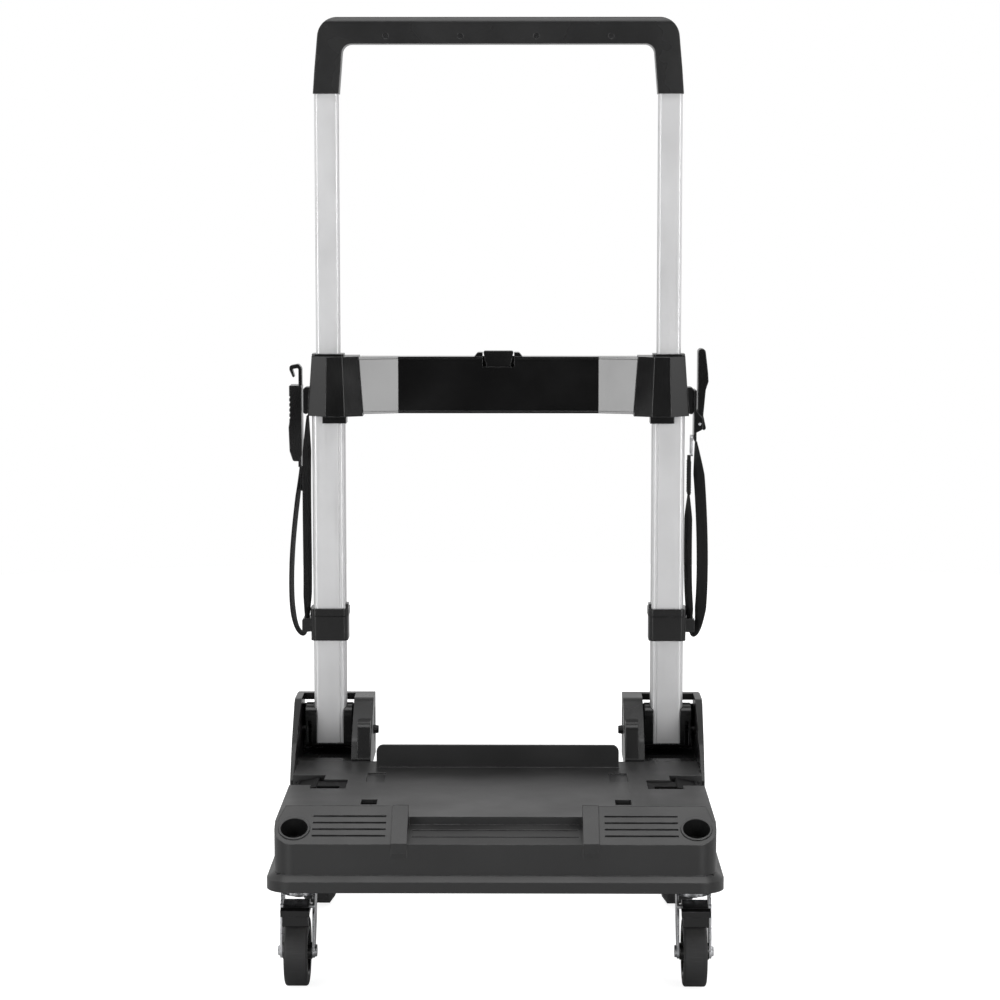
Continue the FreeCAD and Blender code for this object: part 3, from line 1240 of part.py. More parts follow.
def cam_buckle():
    """The right strap's buckle: base plate, lever, pin and wire ring."""
    half = S["buckle_depth"] / 2
    y = S["strap_y"]
    inner = S["lug_x"] - 0.9
    base = slab("cam_base_plate", "XZ", [
        (inner, S["lug_from_z"] - 34, 1.5), (inner + 3.2, S["lug_from_z"] - 34, 1.5),
        (inner + 3.2, S["lug_to_z"] - 3, 1.5), (inner, S["lug_to_z"] - 3, 1.5),
    ], y - half, y + half)
    ears = []
    for index, (low, high) in enumerate(((y - half, y - half + 2), (y + half - 2, y + half))):
        ears.append(slab(f"cam_ear{index}", "XZ", [
            (inner + 3, lever_z - 10), (lever_x + 4, lever_z - 6, 4), (lever_x + 4, lever_z + 7, 4),
            (inner + 3, lever_z + 16),
        ], low, high))
    pin_bore = rod("cam_pin_bore", "Y", (lever_x, y - half - 1, lever_z), half * 2 + 2, cam_pin_radius)
    node(cut("cam_base_solid", fuse("cam_base_blank", [base] + ears), [pin_bore]), "cam_buckle_base")
    node(rod("cam_pin_rod", "Y", (lever_x, y - half - 0.8, lever_z), half * 2 + 1.6, cam_pin_radius), "cam_pin")
    blade = slab("cam_blade", "XZ", [
        (lever_x - 2.4, lever_z - 1.5, 1.6), (lever_x + 0.8, lever_z - 3.2, 1.2),
        (lever_x + 5, lever_z - 8, 1.5), (lever_x + 7.5, lever_z - 5, 2), (lever_x + 4.2, lever_z + 10, 4),
        (lever_x + 6.8, lever_z + 40, 4), (lever_x + 10, lever_z + 50, 4), (lever_x + 9.4, lever_z + 60, 4),
        (lever_x + 6, lever_z + 88, 4), (lever_x - 2.4, lever_z + 88, 4),
    ], y - half + 2.4, y + half - 2.4)
    bore = rod("cam_bore", "Y", (lever_x, y - half - 1, lever_z), half * 2 + 2, cam_pin_radius + S["fit_gap"])
    node(cut("cam_lever_solid", blade, [bore]), "cam_lever")
    ring = wire_ring()
    node(ring, "wire_ring")


def wire_ring():
    """The closed wire ring that carries the sewn end of the right strap."""
    width = S["strap_width"] / 2 + 3
    low, high = ring_low, ring_low + 24
    x = S["lug_x"] - 3
    return slab("wire_ring_solid", "YZ", [
        (S["strap_y"] - width, low, 4), (S["strap_y"] + width, low, 4),
        (S["strap_y"] + width - 3, high, 4), (S["strap_y"] - width + 3, high, 4),
    ], x - 1.2, x + 1.2, [[
        (S["strap_y"] - width + 2.6, low + 2.6, 2), (S["strap_y"] + width - 2.6, low + 2.6, 2),
        (S["strap_y"] + width - 5.4, high - 2.6, 2), (S["strap_y"] - width + 5.4, high - 2.6, 2),
    ]])


ring_low = S["lug_from_z"] - 52


def route_wire(points, name):
    """Straight runs joined by tangent arcs, each as large as its runs allow."""
    edges = []
    start = points[0]
    radii = []
    for before, at, after in zip(points, points[1:], points[2:]):
        back, ahead = before - at, after - at
        turn = math.pi - back.getAngle(ahead)
        reach = 0.45 * min(back.Length, ahead.Length)
        radii.append(reach / math.tan(turn / 2))
        first = at + back.normalize() * reach
        last = at + ahead.normalize() * reach
        bisector = (back + ahead).normalize()
        centre_gap = radii[-1] / math.cos(turn / 2)
        middle = at + bisector * (centre_gap - radii[-1])
        edges.append(Part.LineSegment(start, first).toShape())
        edges.append(Part.Arc(first, middle, last).toShape())
        start = last
    edges.append(Part.LineSegment(start, points[-1]).toShape())
    print(name, "bend radii", [round(radius) for radius in radii])
    return Part.Wire(edges)


def webbing(name, route):
    """A flat strap along a route of (x, z) points, edge on to the front."""
    thick, width = S["strap_thick"].value, S["strap_width"].value
    y = S["strap_y"].value
    points = [Vector(x, y, z) for x, z in route]
    wire = route_wire(points, name)
    along = (points[1] - points[0]).normalize()
    side = along.cross(Vector(0, 1, 0)) * (thick / 2)
    across = Vector(0, width / 2, 0)
    corners = [points[0] + side + across, points[0] - side + across,
               points[0] - side - across, points[0] + side - across]
    section = Part.makePolygon(corners + corners[:1])
    ribbon = wire.makePipeShell([section], True, False)
    print(name, "length", round(wire.Length, 1), "volume ratio",
          round(ribbon.Volume / (wire.Length * thick * width), 4))
    strap = doc.addObject("Part::Feature", name)
    strap.Shape = ribbon
    strap.Placement = FreeCAD.Placement()
    return node(strap, name)


LEFT_OUTER_ROUTE = [(-233, 526.8), (-234.6, 508), (-238, 482), (-241.5, 452), (-244.2, 420), (-245.2, 390),
                    (-244.8, 364), (-242.4, 345), (-238.6, 333), (-233.6, 327), (-228.6, 327), (-227, 331.2)]
LEFT_INNER_ROUTE = [(-224.4, 587), (-223.2, 560), (-222.4, 515), (-222.2, 462), (-223, 410), (-225.6, 376),
                    (-227, 352), (-227, 331.2)]
RIGHT_OUTER_ROUTE = [(232.5, 557), (234.6, 536), (237.4, 506), (239.6, 470), (241, 432), (241.2, 396),
                     (240.2, 366), (238.2, 346), (236.2, 334), (232.6, 327), (228.4, 327), (227, 331.2)]
RIGHT_INNER_ROUTE = [(224.4, 493.6), (222, 462), (221.6, 420), (223, 382), (227, 352), (226.9, 331.2)]


def straps():
    """The lashing straps: each runs down to its collar and loops back up."""
    webbing("strap_left_outer", LEFT_OUTER_ROUTE)
    webbing("strap_left_inner", LEFT_INNER_ROUTE)
    webbing("strap_right_outer", RIGHT_OUTER_ROUTE)
    webbing("strap_right_inner", RIGHT_INNER_ROUTE)
    half = S["strap_width"] / 2
    sewn = slab("sewn_end_solid", "XZ", [
        (222.6, 494), (226, 494, 1), (226.4, ring_low - 0.3, 1.2), (222.4, ring_low - 0.3, 1.2),
    ], S["strap_y"] - half, S["strap_y"] + half)
    node(sewn, "strap_sewn_end")


# ----------------------------------------------------------------------- build

def build():
    deck_shell()
    socket_liners()
    fold_latches()
    housing()
    housing_screws()
    hinge_pins()
    rear_wheels()
    casters()
    posts()
    brackets()
    brace()
    height_lock()
    collars()
    handle()
    hook_buckle()
    cam_buckle()
    straps()
    doc.recompute()


def check():
    """Stop on anything that failed to build."""
    for thing in doc.Objects:
        if "Invalid" in thing.State or "Error" in thing.State:
            raise RuntimeError(f"{thing.Label} failed: {thing.State}")
    for thing in NODES:
        if thing.Shape.isNull() or not thing.Shape.isValid():
            raise RuntimeError(f"{thing.Label} has no valid shape")
        if not thing.Shape.Solids:
            raise RuntimeError(f"{thing.Label} has no solid")


def export():
    os.makedirs("parts", exist_ok=True)
    for thing in NODES:
        thing.Shape.exportStep(f"parts/{thing.Label}.step")
        print(f"{thing.Label:24s} solids {len(thing.Shape.Solids)} volume {thing.Shape.Volume:.0f}")
    print(len(NODES), "nodes")


build()
check()
export()
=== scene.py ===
import math

import bmesh
import bpy
from bpy.props import FloatProperty, FloatVectorProperty, IntProperty, PointerProperty
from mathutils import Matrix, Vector


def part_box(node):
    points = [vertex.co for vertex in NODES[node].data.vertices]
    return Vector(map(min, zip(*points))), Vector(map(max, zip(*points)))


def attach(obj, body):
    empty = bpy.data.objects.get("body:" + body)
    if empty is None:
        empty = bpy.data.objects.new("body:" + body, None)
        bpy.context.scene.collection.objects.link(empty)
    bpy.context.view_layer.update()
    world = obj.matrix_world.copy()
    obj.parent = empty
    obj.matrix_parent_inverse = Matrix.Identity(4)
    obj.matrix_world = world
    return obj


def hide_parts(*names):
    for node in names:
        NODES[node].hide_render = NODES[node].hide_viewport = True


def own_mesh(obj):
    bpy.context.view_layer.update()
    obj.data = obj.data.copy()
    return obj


bl_info = {
    "name": "Folding Platform Cart",
    "version": (1, 0, 0),
    "blender": (4, 5, 0),
    "location": "3D View > Sidebar > Cart",
    "description": "Finishes, straps and small hardware of a folding platform cart",
    "category": "Object",
}

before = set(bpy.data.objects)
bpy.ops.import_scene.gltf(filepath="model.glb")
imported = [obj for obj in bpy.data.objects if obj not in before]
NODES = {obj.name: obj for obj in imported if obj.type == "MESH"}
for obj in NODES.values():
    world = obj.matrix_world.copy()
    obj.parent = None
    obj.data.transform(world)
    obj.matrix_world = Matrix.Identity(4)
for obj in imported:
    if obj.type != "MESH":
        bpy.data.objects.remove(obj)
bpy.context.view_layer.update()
SIDES = (("right", 1), ("left", -1))
STRAP_Y = 0.161         # the straps' plane, in metres

DUST = (0.30, 0.295, 0.285)
TYRE_DUST = (0.24, 0.235, 0.225)
BLACKENED = (0.012, 0.012, 0.0125)

HEAD_HEIGHT = 0.0012    # of a screw's head
HEAD_SINK = 0.0004      # how deep a head sits in its face
LOBES = 6.0             # in a screw's recess
LOBE_DEPTH = 0.16       # against its distance from the middle
RACE_RADIUS = 0.0152    # of the ring of bearing balls
RACE_LIFT = 0.0045      # of the ring above the middle of its gap
BAR_HEIGHT = 0.0012     # of a tread bar
BAR_SINK = 0.3          # how far a bar's middle lies inside the tyre, against its height
BAR_SLANT = 0.35        # radians

CAMERA_PLACE = (0.027, -2.921, 0.844)
CAMERA_DOWN = 6.607     # degrees
CAMERA_ASIDE = 0.467    # degrees
FLOOR_RADIUS = 3.1
SIDE_SHARE = 0.42       # power of a side light against that of a front one

# Strap routes, from the buckle down to the collar's lug, as (x, z) in metres.
STRAP_ROUTES = {
    "left_outer": [
        (-0.233, 0.5268), (-0.2346, 0.508), (-0.238, 0.482), (-0.2415, 0.452), (-0.2442, 0.420),
        (-0.2452, 0.390), (-0.2448, 0.364), (-0.2424, 0.345), (-0.2386, 0.333), (-0.2336, 0.327),
        (-0.2286, 0.327), (-0.227, 0.3312)],
    "left_inner": [
        (-0.2244, 0.587), (-0.2254, 0.560), (-0.2262, 0.515), (-0.2262, 0.462), (-0.2259, 0.410),
        (-0.2261, 0.376), (-0.2268, 0.352), (-0.227, 0.3312)],
    "right_outer": [
        (0.2325, 0.557), (0.2346, 0.536), (0.2374, 0.506), (0.2396, 0.470), (0.241, 0.432),
        (0.2412, 0.396), (0.2402, 0.366), (0.2382, 0.346), (0.2362, 0.334), (0.2326, 0.327),
        (0.2284, 0.327), (0.227, 0.3312)],
    "right_inner": [
        (0.2244, 0.4936), (0.2241, 0.462), (0.2240, 0.420), (0.2246, 0.382), (0.2268, 0.352),
        (0.2269, 0.3312)],
}
# The short fold of spare webbing under the left buckle, as (x, z) in metres.
SPARE_FOLD = [(-0.2316, 0.5265), (-0.2296, 0.516), (-0.2294, 0.505), (-0.2306, 0.499), (-0.2326, 0.500),
              (-0.2330, 0.506), (-0.2326, 0.516), (-0.2322, 0.5255)]
# Turn of each run about its own line, in degrees, away from its two ends.
STRAP_TURNS = {"left_outer": 10, "left_inner": 24, "right_outer": -36, "right_inner": -22}


# ------------------------------------------------------------------ settings

def colour(label, text, value):
    return FloatVectorProperty(name=label, description=text, default=value, size=3, min=0, max=1,
                               subtype="COLOR")


def length(label, text, value):
    return FloatProperty(name=label, description=text, default=value, min=0, unit="LENGTH", precision=4)


class CartFinish(bpy.types.PropertyGroup):
    """Colours of the cart's materials."""
    deck: colour("Deck", "Moulded plastic of the deck and its socket liners", (0.012, 0.012, 0.0122))
    housing: colour("Housing", "Moulded plastic of the hinge housings", (0.006, 0.006, 0.0061))
    satin: colour("Satin black", "Moulded plastic of brackets, collars and small parts",
                  (0.0032, 0.0032, 0.0033))
    gloss: colour("Gloss black", "Smooth plastic of the cross brace", (0.002, 0.002, 0.0021))
    grip: colour("Grip", "Moulded plastic of the grip", (0.014, 0.014, 0.0142))
    aluminium: colour("Aluminium", "Anodised tubes", (0.56, 0.56, 0.565))
    zinc: colour("Zinc", "Bright plated steel", (0.56, 0.565, 0.58))
    rubber: colour("Rubber", "Tyres", (0.012, 0.012, 0.0125))
    webbing: colour("Webbing", "Woven straps", (0.004, 0.004, 0.0042))


class CartStrap(bpy.types.PropertyGroup):
    """Sizes of the lashing straps."""
    width: length("Width", "Width of the webbing", 0.020)
    thickness: length("Thickness", "Thickness of the webbing", 0.0016)
    stitch: length("Stitch", "Length of one stitch with its gap", 0.0032)
    thread: length("Thread", "Thickness of the sewing thread", 0.0007)


class CartHardware(bpy.types.PropertyGroup):
    """Sizes of screws, bearing balls, tread bars and the release button's spring."""
    recess: FloatProperty(name="Recess", description="Width of a screw's recess against its head",
                          default=0.56, min=0.1, max=0.9, subtype="FACTOR")
    balls: IntProperty(name="Balls", description="Bearing balls in each caster's race", default=26, min=3)
    ball_size: length("Ball size", "Radius of a bearing ball", 0.0012)
    spring_wire: length("Spring wire", "Radius of the button spring's wire", 0.0009)
    spring_pitch: length("Spring pitch", "Rise of each turn of the button spring", 0.0042)
    button_travel: length("Button travel", "How far the release button goes in", 0.006)
    tread_bars: IntProperty(name="Tread bars", description="Bars round each rear tyre", default=48, min=3)


class CartStage(bpy.types.PropertyGroup):
    """Studio lights and camera."""
    floor: colour("Floor", "Colour of the floor", (0.6, 0.6, 0.6))
    glow: FloatProperty(name="Glow", description="Light that the camera sees the floor give", default=0.85,
                        min=0)
    key: FloatProperty(name="Key", description="Power of the overhead light", default=48, min=0,
                       unit="POWER")
    sides: FloatProperty(name="Sides", description="Power of each front light", default=42, min=0,
                         unit="POWER")
    fill: FloatProperty(name="Fill", description="Brightness of the surroundings", default=0.75, min=0)
    lens: FloatProperty(name="Lens", description="Focal length of the camera", default=94.62, min=1,
                        unit="CAMERA")


# ------------------------------------------------------------- node building

def add(tree, kind, values=None, **settings):
    """A node with its settings, then its inputs filled from values or linked from sockets."""
    made = tree.nodes.new(kind)
    for key, value in settings.items():
        setattr(made, key, value)
    for key, value in (values or {}).items():
        if isinstance(value, bpy.types.NodeSocket):
            tree.links.new(value, made.inputs[key])
        else:
            made.inputs[key].default_value = value
    return made


def maths(tree, operation, *terms, clamp=False):
    node = add(tree, "ShaderNodeMath", dict(enumerate(terms)), operation=operation, use_clamp=clamp)
    return node.outputs[0]


def ramp(tree, value, low, high, low_to=0.0, high_to=1.0):
    return add(tree, "ShaderNodeMapRange", {
        "Value": value, "From Min": low, "From Max": high, "To Min": low_to, "To Max": high_to,
    }).outputs["Result"]


def mix(tree, amount, first, second):
    return add(tree, "ShaderNodeMix", {0: amount, 6: first, 7: second}, data_type="RGBA").outputs[2]


def grouped(name, kind, inputs, outputs):
    """An empty node group with its sockets and end nodes."""
    tree = bpy.data.node_groups.new(name, kind)
    for label, socket, value in inputs:
        made = tree.interface.new_socket(label, in_out="INPUT", socket_type=socket)
        if value is not None:
            made.default_value = value
    for label, socket in outputs:
        tree.interface.new_socket(label, in_out="OUTPUT", socket_type=socket)
    return tree, tree.nodes.new("NodeGroupInput").outputs, tree.nodes.new("NodeGroupOutput").inputs


def edge_wear_highlight_group():
    """Softened edges, and a patchy mask along them: where hands and loads rub them, and where moulded
    plastics get a painted edge highlight.
    """
    tree, given, out = grouped("Edge wear", "ShaderNodeTree", [
        ("Vector", "NodeSocketVector", None), ("Radius", "NodeSocketFloat", 0.0008),
        ("Patchiness", "NodeSocketFloat", 60.0), ("Normal", "NodeSocketVector", None),
    ], [("Mask", "NodeSocketFloat"), ("Normal", "NodeSocketVector")])
    rounded = add(tree, "ShaderNodeBevel", {"Radius": given["Radius"], "Normal": given["Normal"]}, samples=6)
    plain = add(tree, "ShaderNodeNewGeometry").outputs["Normal"]
    turn = add(tree, "ShaderNodeVectorMath", {0: rounded.outputs[0], 1: plain}, operation="DOT_PRODUCT")
    edge = ramp(tree, turn.outputs["Value"], 0.995, 0.86)
    patches = add(tree, "ShaderNodeTexNoise", {
        "Vector": given["Vector"], "Scale": given["Patchiness"], "Detail": 4.0, "Roughness": 0.6})
    worn_and_highlit = maths(tree, "MULTIPLY", edge, ramp(tree, patches.outputs["Fac"], 0.42, 0.66), clamp=True)
    tree.links.new(worn_and_highlit, out["Mask"])
    tree.links.new(rounded.outputs[0], out["Normal"])
    return tree


def grain_group():
    """Fine moulded grain over a slow unevenness."""
    tree, given, out = grouped("Moulded grain", "ShaderNodeTree", [
        ("Vector", "NodeSocketVector", None), ("Size", "NodeSocketFloat", 900.0),
        ("Waviness", "NodeSocketFloat", 0.25),
    ], [("Height", "NodeSocketFloat"), ("Tone", "NodeSocketFloat")])
    pits = add(tree, "ShaderNodeTexVoronoi", {"Vector": given["Vector"], "Scale": given["Size"]},
               feature="SMOOTH_F1")
    slow = add(tree, "ShaderNodeTexNoise", {"Vector": given["Vector"], "Scale": 14.0, "Detail": 3.0})
    waves = maths(tree, "MULTIPLY", slow.outputs["Fac"], given["Waviness"])
    tree.links.new(maths(tree, "ADD", pits.outputs["Distance"], waves), out["Height"])
    tree.links.new(slow.outputs["Fac"], out["Tone"])
    return tree


def dust_group():
    """Light dust that settles on faces that look up, and faint specks everywhere."""
    tree, given, out = grouped("Dust", "ShaderNodeTree", [
        ("Vector", "NodeSocketVector", None), ("Amount", "NodeSocketFloat", 0.3),
    ], [("Mask", "NodeSocketFloat")])
    facing = add(tree, "ShaderNodeSeparateXYZ", {0: add(tree, "ShaderNodeNewGeometry").outputs["Normal"]})
    up = ramp(tree, facing.outputs["Z"], 0.35, 0.95)
    clouds = add(tree, "ShaderNodeTexNoise", {"Vector": given["Vector"], "Scale": 9.0, "Detail": 8.0,
                                              "Roughness": 0.68})
    specks = add(tree, "ShaderNodeTexNoise", {"Vector": given["Vector"], "Scale": 420.0, "Detail": 2.0})
    settled = maths(tree, "MULTIPLY", up, ramp(tree, clouds.outputs["Fac"], 0.4, 0.72))
    flecks = maths(tree, "MULTIPLY", ramp(tree, specks.outputs["Fac"], 0.66, 0.76), 0.06)
    both = maths(tree, "MULTIPLY", maths(tree, "ADD", settled, flecks), given["Amount"], clamp=True)
    tree.links.new(both, out["Mask"])
    return tree


def drawn_lines_group():
    """Fine lines along one direction, as an extruded or brushed metal has."""
    tree, given, out = grouped("Drawn lines", "ShaderNodeTree", [
        ("Vector", "NodeSocketVector", None), ("Stretch", "NodeSocketVector", (1600.0, 1600.0, 6.0)),
    ], [("Height", "NodeSocketFloat"), ("Tone", "NodeSocketFloat")])
    drawn = add(tree, "ShaderNodeVectorMath", {0: given["Vector"], 1: given["Stretch"]},
                operation="MULTIPLY")
    lines = add(tree, "ShaderNodeTexNoise", {"Vector": drawn.outputs[0], "Scale": 1.0, "Detail": 3.0})
    slow = add(tree, "ShaderNodeTexNoise", {"Vector": given["Vector"], "Scale": 22.0, "Detail": 4.0})
    tree.links.new(lines.outputs["Fac"], out["Height"])
    tree.links.new(slow.outputs["Fac"], out["Tone"])
    return tree


def weave_group():
    """Ribbed plain weave across and along a strap, from its own lengthwise map."""
    tree, given, out = grouped("Weave", "ShaderNodeTree", [
        ("Vector", "NodeSocketVector", None), ("Threads", "NodeSocketFloat", 720.0),
    ], [("Height", "NodeSocketFloat"), ("Tone", "NodeSocketFloat")])
    parts = add(tree, "ShaderNodeSeparateXYZ", {0: given["Vector"]})
    along = maths(tree, "MULTIPLY", parts.outputs["X"], maths(tree, "MULTIPLY", given["Threads"], math.tau))
    across = maths(tree, "MULTIPLY", parts.outputs["Y"], maths(tree, "MULTIPLY", given["Threads"], math.pi))
    warp = maths(tree, "SINE", maths(tree, "ADD", along, across))
    weft = maths(tree, "SINE", maths(tree, "SUBTRACT", along, across))
    over = maths(tree, "MAXIMUM", warp, weft)
    fibres = add(tree, "ShaderNodeTexNoise", {"Vector": given["Vector"], "Scale": 2600.0, "Detail": 3.0})
    fuzz = maths(tree, "MULTIPLY", fibres.outputs["Fac"], 0.7)
    tree.links.new(maths(tree, "ADD", over, fuzz), out["Height"])
    tree.links.new(ramp(tree, over, -0.2, 1.0), out["Tone"])
    return tree


class Finish:
    """One material: its tree, its Object coordinates and its Principled BSDF."""

    def __init__(self, name, roughness, metallic=0.0, coat=0.0, specular=0.5, sheen=0.0):
        self.material = bpy.data.materials.new(name)
        self.material.use_nodes = True
        self.tree = self.material.node_tree
        self.tree.nodes.clear()
        self.place = self.tree.nodes.new("ShaderNodeTexCoord").outputs["Object"]
        self.surface = add(self.tree, "ShaderNodeBsdfPrincipled", {
            "Roughness": roughness, "Metallic": metallic, "Coat Weight": coat,
            "Coat Roughness": 0.1, "Specular IOR Level": specular, "Sheen Weight": sheen})
        add(self.tree, "ShaderNodeOutputMaterial", {"Surface": self.surface.outputs[0]})

    def use(self, group, **values):
        node = add(self.tree, "ShaderNodeGroup", node_tree=bpy.data.node_groups[group])
        for key, value in values.items():
            socket = node.inputs[key]
            if isinstance(value, bpy.types.NodeSocket):
                self.tree.links.new(value, socket)
            else:
                socket.default_value = value
        return node.outputs

    def feed(self, socket, source):
        self.tree.links.new(source, self.surface.inputs[socket])

    def bump(self, height, distance, strength=0.5, normal=None):
        values = {"Height": height, "Distance": distance, "Strength": strength}
        if normal:
            values["Normal"] = normal
        self.feed("Normal", add(self.tree, "ShaderNodeBump", values).outputs[0])


def rgba(value, gain=1.0):
    return [min(1.0, part * gain) for part in value] + [1.0]


def moulded(name, base, roughness, grain, depth, edge, dust, wear_and_highlight=2.2, **extra):
    """Moulded plastic: grain, rounded edges, rubbed edges lightened in patches as wear and as a painted edge
    highlight, a little dust.
    """
    made = Finish(name, roughness, **extra)
    texture = made.use("Moulded grain", Vector=made.place, Size=grain)
    rubbed = made.use("Edge wear", Vector=made.place, Radius=edge)
    dusty = made.use("Dust", Vector=made.place, Amount=dust)
    tone = mix(made.tree, texture["Tone"], rgba(base, 0.9), rgba(base, 1.12))
    # Edges lightened in patches by the gain: rubbed wear at the default gain, and a painted edge highlight
    # where a finish raises it.
    worn_and_highlit = mix(made.tree, rubbed["Mask"], tone, rgba(base, wear_and_highlight))
    made.feed("Base Color", mix(made.tree, dusty["Mask"], worn_and_highlit, rgba(DUST)))
    rough = ramp(made.tree, texture["Tone"], 0.3, 0.7, roughness - 0.05, roughness + 0.06)
    made.feed("Roughness", maths(made.tree, "ADD", rough, maths(made.tree, "MULTIPLY", dusty["Mask"], 0.5)))
    made.bump(texture["Height"], depth, normal=rubbed["Normal"])
    return made.material


def metal(name, base, roughness, stretch, depth, edge=0.0005, metallic=1.0):
    """Metal with drawn lines and softened edges."""
    made = Finish(name, roughness, metallic=metallic)
    lines = made.use("Drawn lines", Vector=made.place, Stretch=stretch)
    rubbed = made.use("Edge wear", Vector=made.place, Radius=edge)
    tone = mix(made.tree, lines["Tone"], rgba(base, 0.94), rgba(base, 1.05))
    made.feed("Base Color", mix(made.tree, rubbed["Mask"], tone, rgba(base, 1.12)))
    streaks = ramp(made.tree, lines["Height"], 0.3, 0.7, roughness - 0.05, roughness + 0.06)
    cloudy = ramp(made.tree, lines["Tone"], 0.3, 0.7, -0.03, 0.03)
    made.feed("Roughness", maths(made.tree, "ADD", streaks, cloudy))
    made.bump(lines["Height"], depth, 0.35, rubbed["Normal"])
    return made.material


def rubber(name, base):
    """Tyre rubber with fine scuffs round the tread."""
    made = Finish(name, 0.62, specular=0.4)
    texture = made.use("Moulded grain", Vector=made.place, Size=500.0)
    scuffs = made.use("Drawn lines", Vector=made.place, Stretch=(30.0, 700.0, 700.0))
    dusty = made.use("Dust", Vector=made.place, Amount=0.25)
    tone = mix(made.tree, texture["Tone"], rgba(base, 0.8), rgba(base, 1.3))
    scuffed = ramp(made.tree, scuffs["Height"], 0.55, 0.8, 0.0, 0.5)
    rubbed = mix(made.tree, scuffed, tone, rgba(base, 2.6))
    made.feed("Base Color", mix(made.tree, dusty["Mask"], rubbed, rgba(TYRE_DUST)))
    made.feed("Roughness", ramp(made.tree, texture["Tone"], 0.3, 0.7, 0.52, 0.72))
    made.bump(texture["Height"], 0.00012)
    return made.material


def woven(name, base):
    """Webbing: ribbed weave on the strap's own map, with a soft sheen."""
    made = Finish(name, 0.78, sheen=0.06, specular=0.25)
    strap_map = add(made.tree, "ShaderNodeUVMap", uv_map="strap").outputs[0]
    cloth = made.use("Weave", Vector=strap_map, Threads=560.0)
    texture = made.use("Moulded grain", Vector=made.place, Size=1400.0)
    tone = mix(made.tree, cloth["Tone"], rgba(base, 0.55), rgba(base, 1.9))
    faded = ramp(made.tree, texture["Tone"], 0.5, 0.8, 0, 0.3)
    made.feed("Base Color", mix(made.tree, faded, tone, rgba(base, 2.6)))
    made.feed("Roughness", ramp(made.tree, cloth["Tone"], 0, 1, 0.9, 0.66))
    made.bump(cloth["Height"], 0.00022, 0.8)
    return made.material


def thread_finish(name, base):
    """Twisted sewing thread."""
    made = Finish(name, 0.6, sheen=0.2)
    twist = made.use("Drawn lines", Vector=made.place, Stretch=(3000.0, 3000.0, 900.0))
    made.feed("Base Color", mix(made.tree, twist["Height"], rgba(base, 1.2), rgba(base, 4.0)))
    made.bump(twist["Height"], 0.0001)
    return made.material


def put_on(finish, *names):
    """Gives CAD nodes the material of that name."""
    for name in names:
        for slot in NODES[name].material_slots:
            slot.material = bpy.data.materials[finish]


def both(*names):
    """Names of the right and the left node of each pair."""
    return [f"{name}_{side}" for name in names for side, _ in SIDES]


# ------------------------------------------------------------------- meshes

def rings_mesh(name, verts, uvs, count, material):
    """A smooth, capped mesh through rings of count points each, with its lengthwise map."""
    faces = []
    for base in range(0, len(verts) - count, count):
        for step in range(count):
            after = (step + 1) % count
            faces.append((base + step, base + after, base + count + after, base + count + step))
    faces.append(tuple(range(count)))
    faces.append(tuple(range(len(verts) - count, len(verts))))
    data = bpy.data.meshes.new(name)
    data.from_pydata(verts, [], faces)
    data.update()
    layer = data.uv_layers.new(name="strap")
    for loop in data.loops:
        layer.data[loop.index].uv = uvs[loop.vertex_index]
    work = bmesh.new()
    work.from_mesh(data)
    bmesh.ops.recalc_face_normals(work, faces=work.faces)
    work.to_mesh(data)
    work.free()
    data.polygons.foreach_set("use_smooth", [True] * len(data.polygons))
    data.materials.append(material)
    piece = bpy.data.objects.new(name, data)
    bpy.context.collection.objects.link(piece)
    return piece


def solids_of(name):
    """(lowest, highest) corners of each separate solid in a CAD node."""
    work = bmesh.new()
    work.from_mesh(NODES[name].data)
    bmesh.ops.remove_doubles(work, verts=work.verts, dist=1e-6)
    seen = set()
    boxes = []
    for start in work.verts:
        if start in seen:
            continue
        stack = [start]
        seen.add(start)
        low = start.co.copy()
        high = start.co.copy()
        while stack:
            vert = stack.pop()
            for axis in range(3):
                low[axis] = min(low[axis], vert.co[axis])
                high[axis] = max(high[axis], vert.co[axis])
            for edge in vert.link_edges:
                other = edge.other_vert(vert)
                if other not in seen:
                    seen.add(other)
                    stack.append(other)
        boxes.append((low, high))
    work.free()
    return boxes


def grown(name, tree, points, edges, values):
    """A plain mesh made by a Geometry Nodes tree on the points given."""
    data = bpy.data.meshes.new(name)
    data.from_pydata(points, edges, [])
    seed = bpy.data.objects.new(name + "_seed", data)
    bpy.context.collection.objects.link(seed)
    modifier = seed.modifiers.new("Grow", "NODES")
    modifier.node_group = tree
    for item in tree.interface.items_tree:
        if item.item_type == "SOCKET" and item.in_out == "INPUT" and item.name in values:
            modifier[item.identifier] = values[item.name]
    view = bpy.context.evaluated_depsgraph_get()
    view.update()
    made = bpy.data.meshes.new_from_object(seed.evaluated_get(view))
    made.name = name
    seed.modifiers.remove(modifier)
    bpy.data.objects.remove(seed)
    if not made.vertices:
        raise RuntimeError(f"{name} came out empty")
    piece = bpy.data.objects.new(name, made)
    bpy.context.collection.objects.link(piece)
    return piece


def finish_tree(tree, out, instances, material, smooth=True):
    """Ends a tree: its instances made real, shaded and given their material."""
    real = add(tree, "GeometryNodeRealizeInstances", {0: instances}).outputs[0]
    shaded = add(tree, "GeometryNodeSetShadeSmooth", {"Geometry": real, "Shade Smooth": smooth}).outputs[0]
    last = add(tree, "GeometryNodeSetMaterial", {"Geometry": shaded, "Material": material}).outputs[0]
    tree.links.new(last, out["Geometry"])


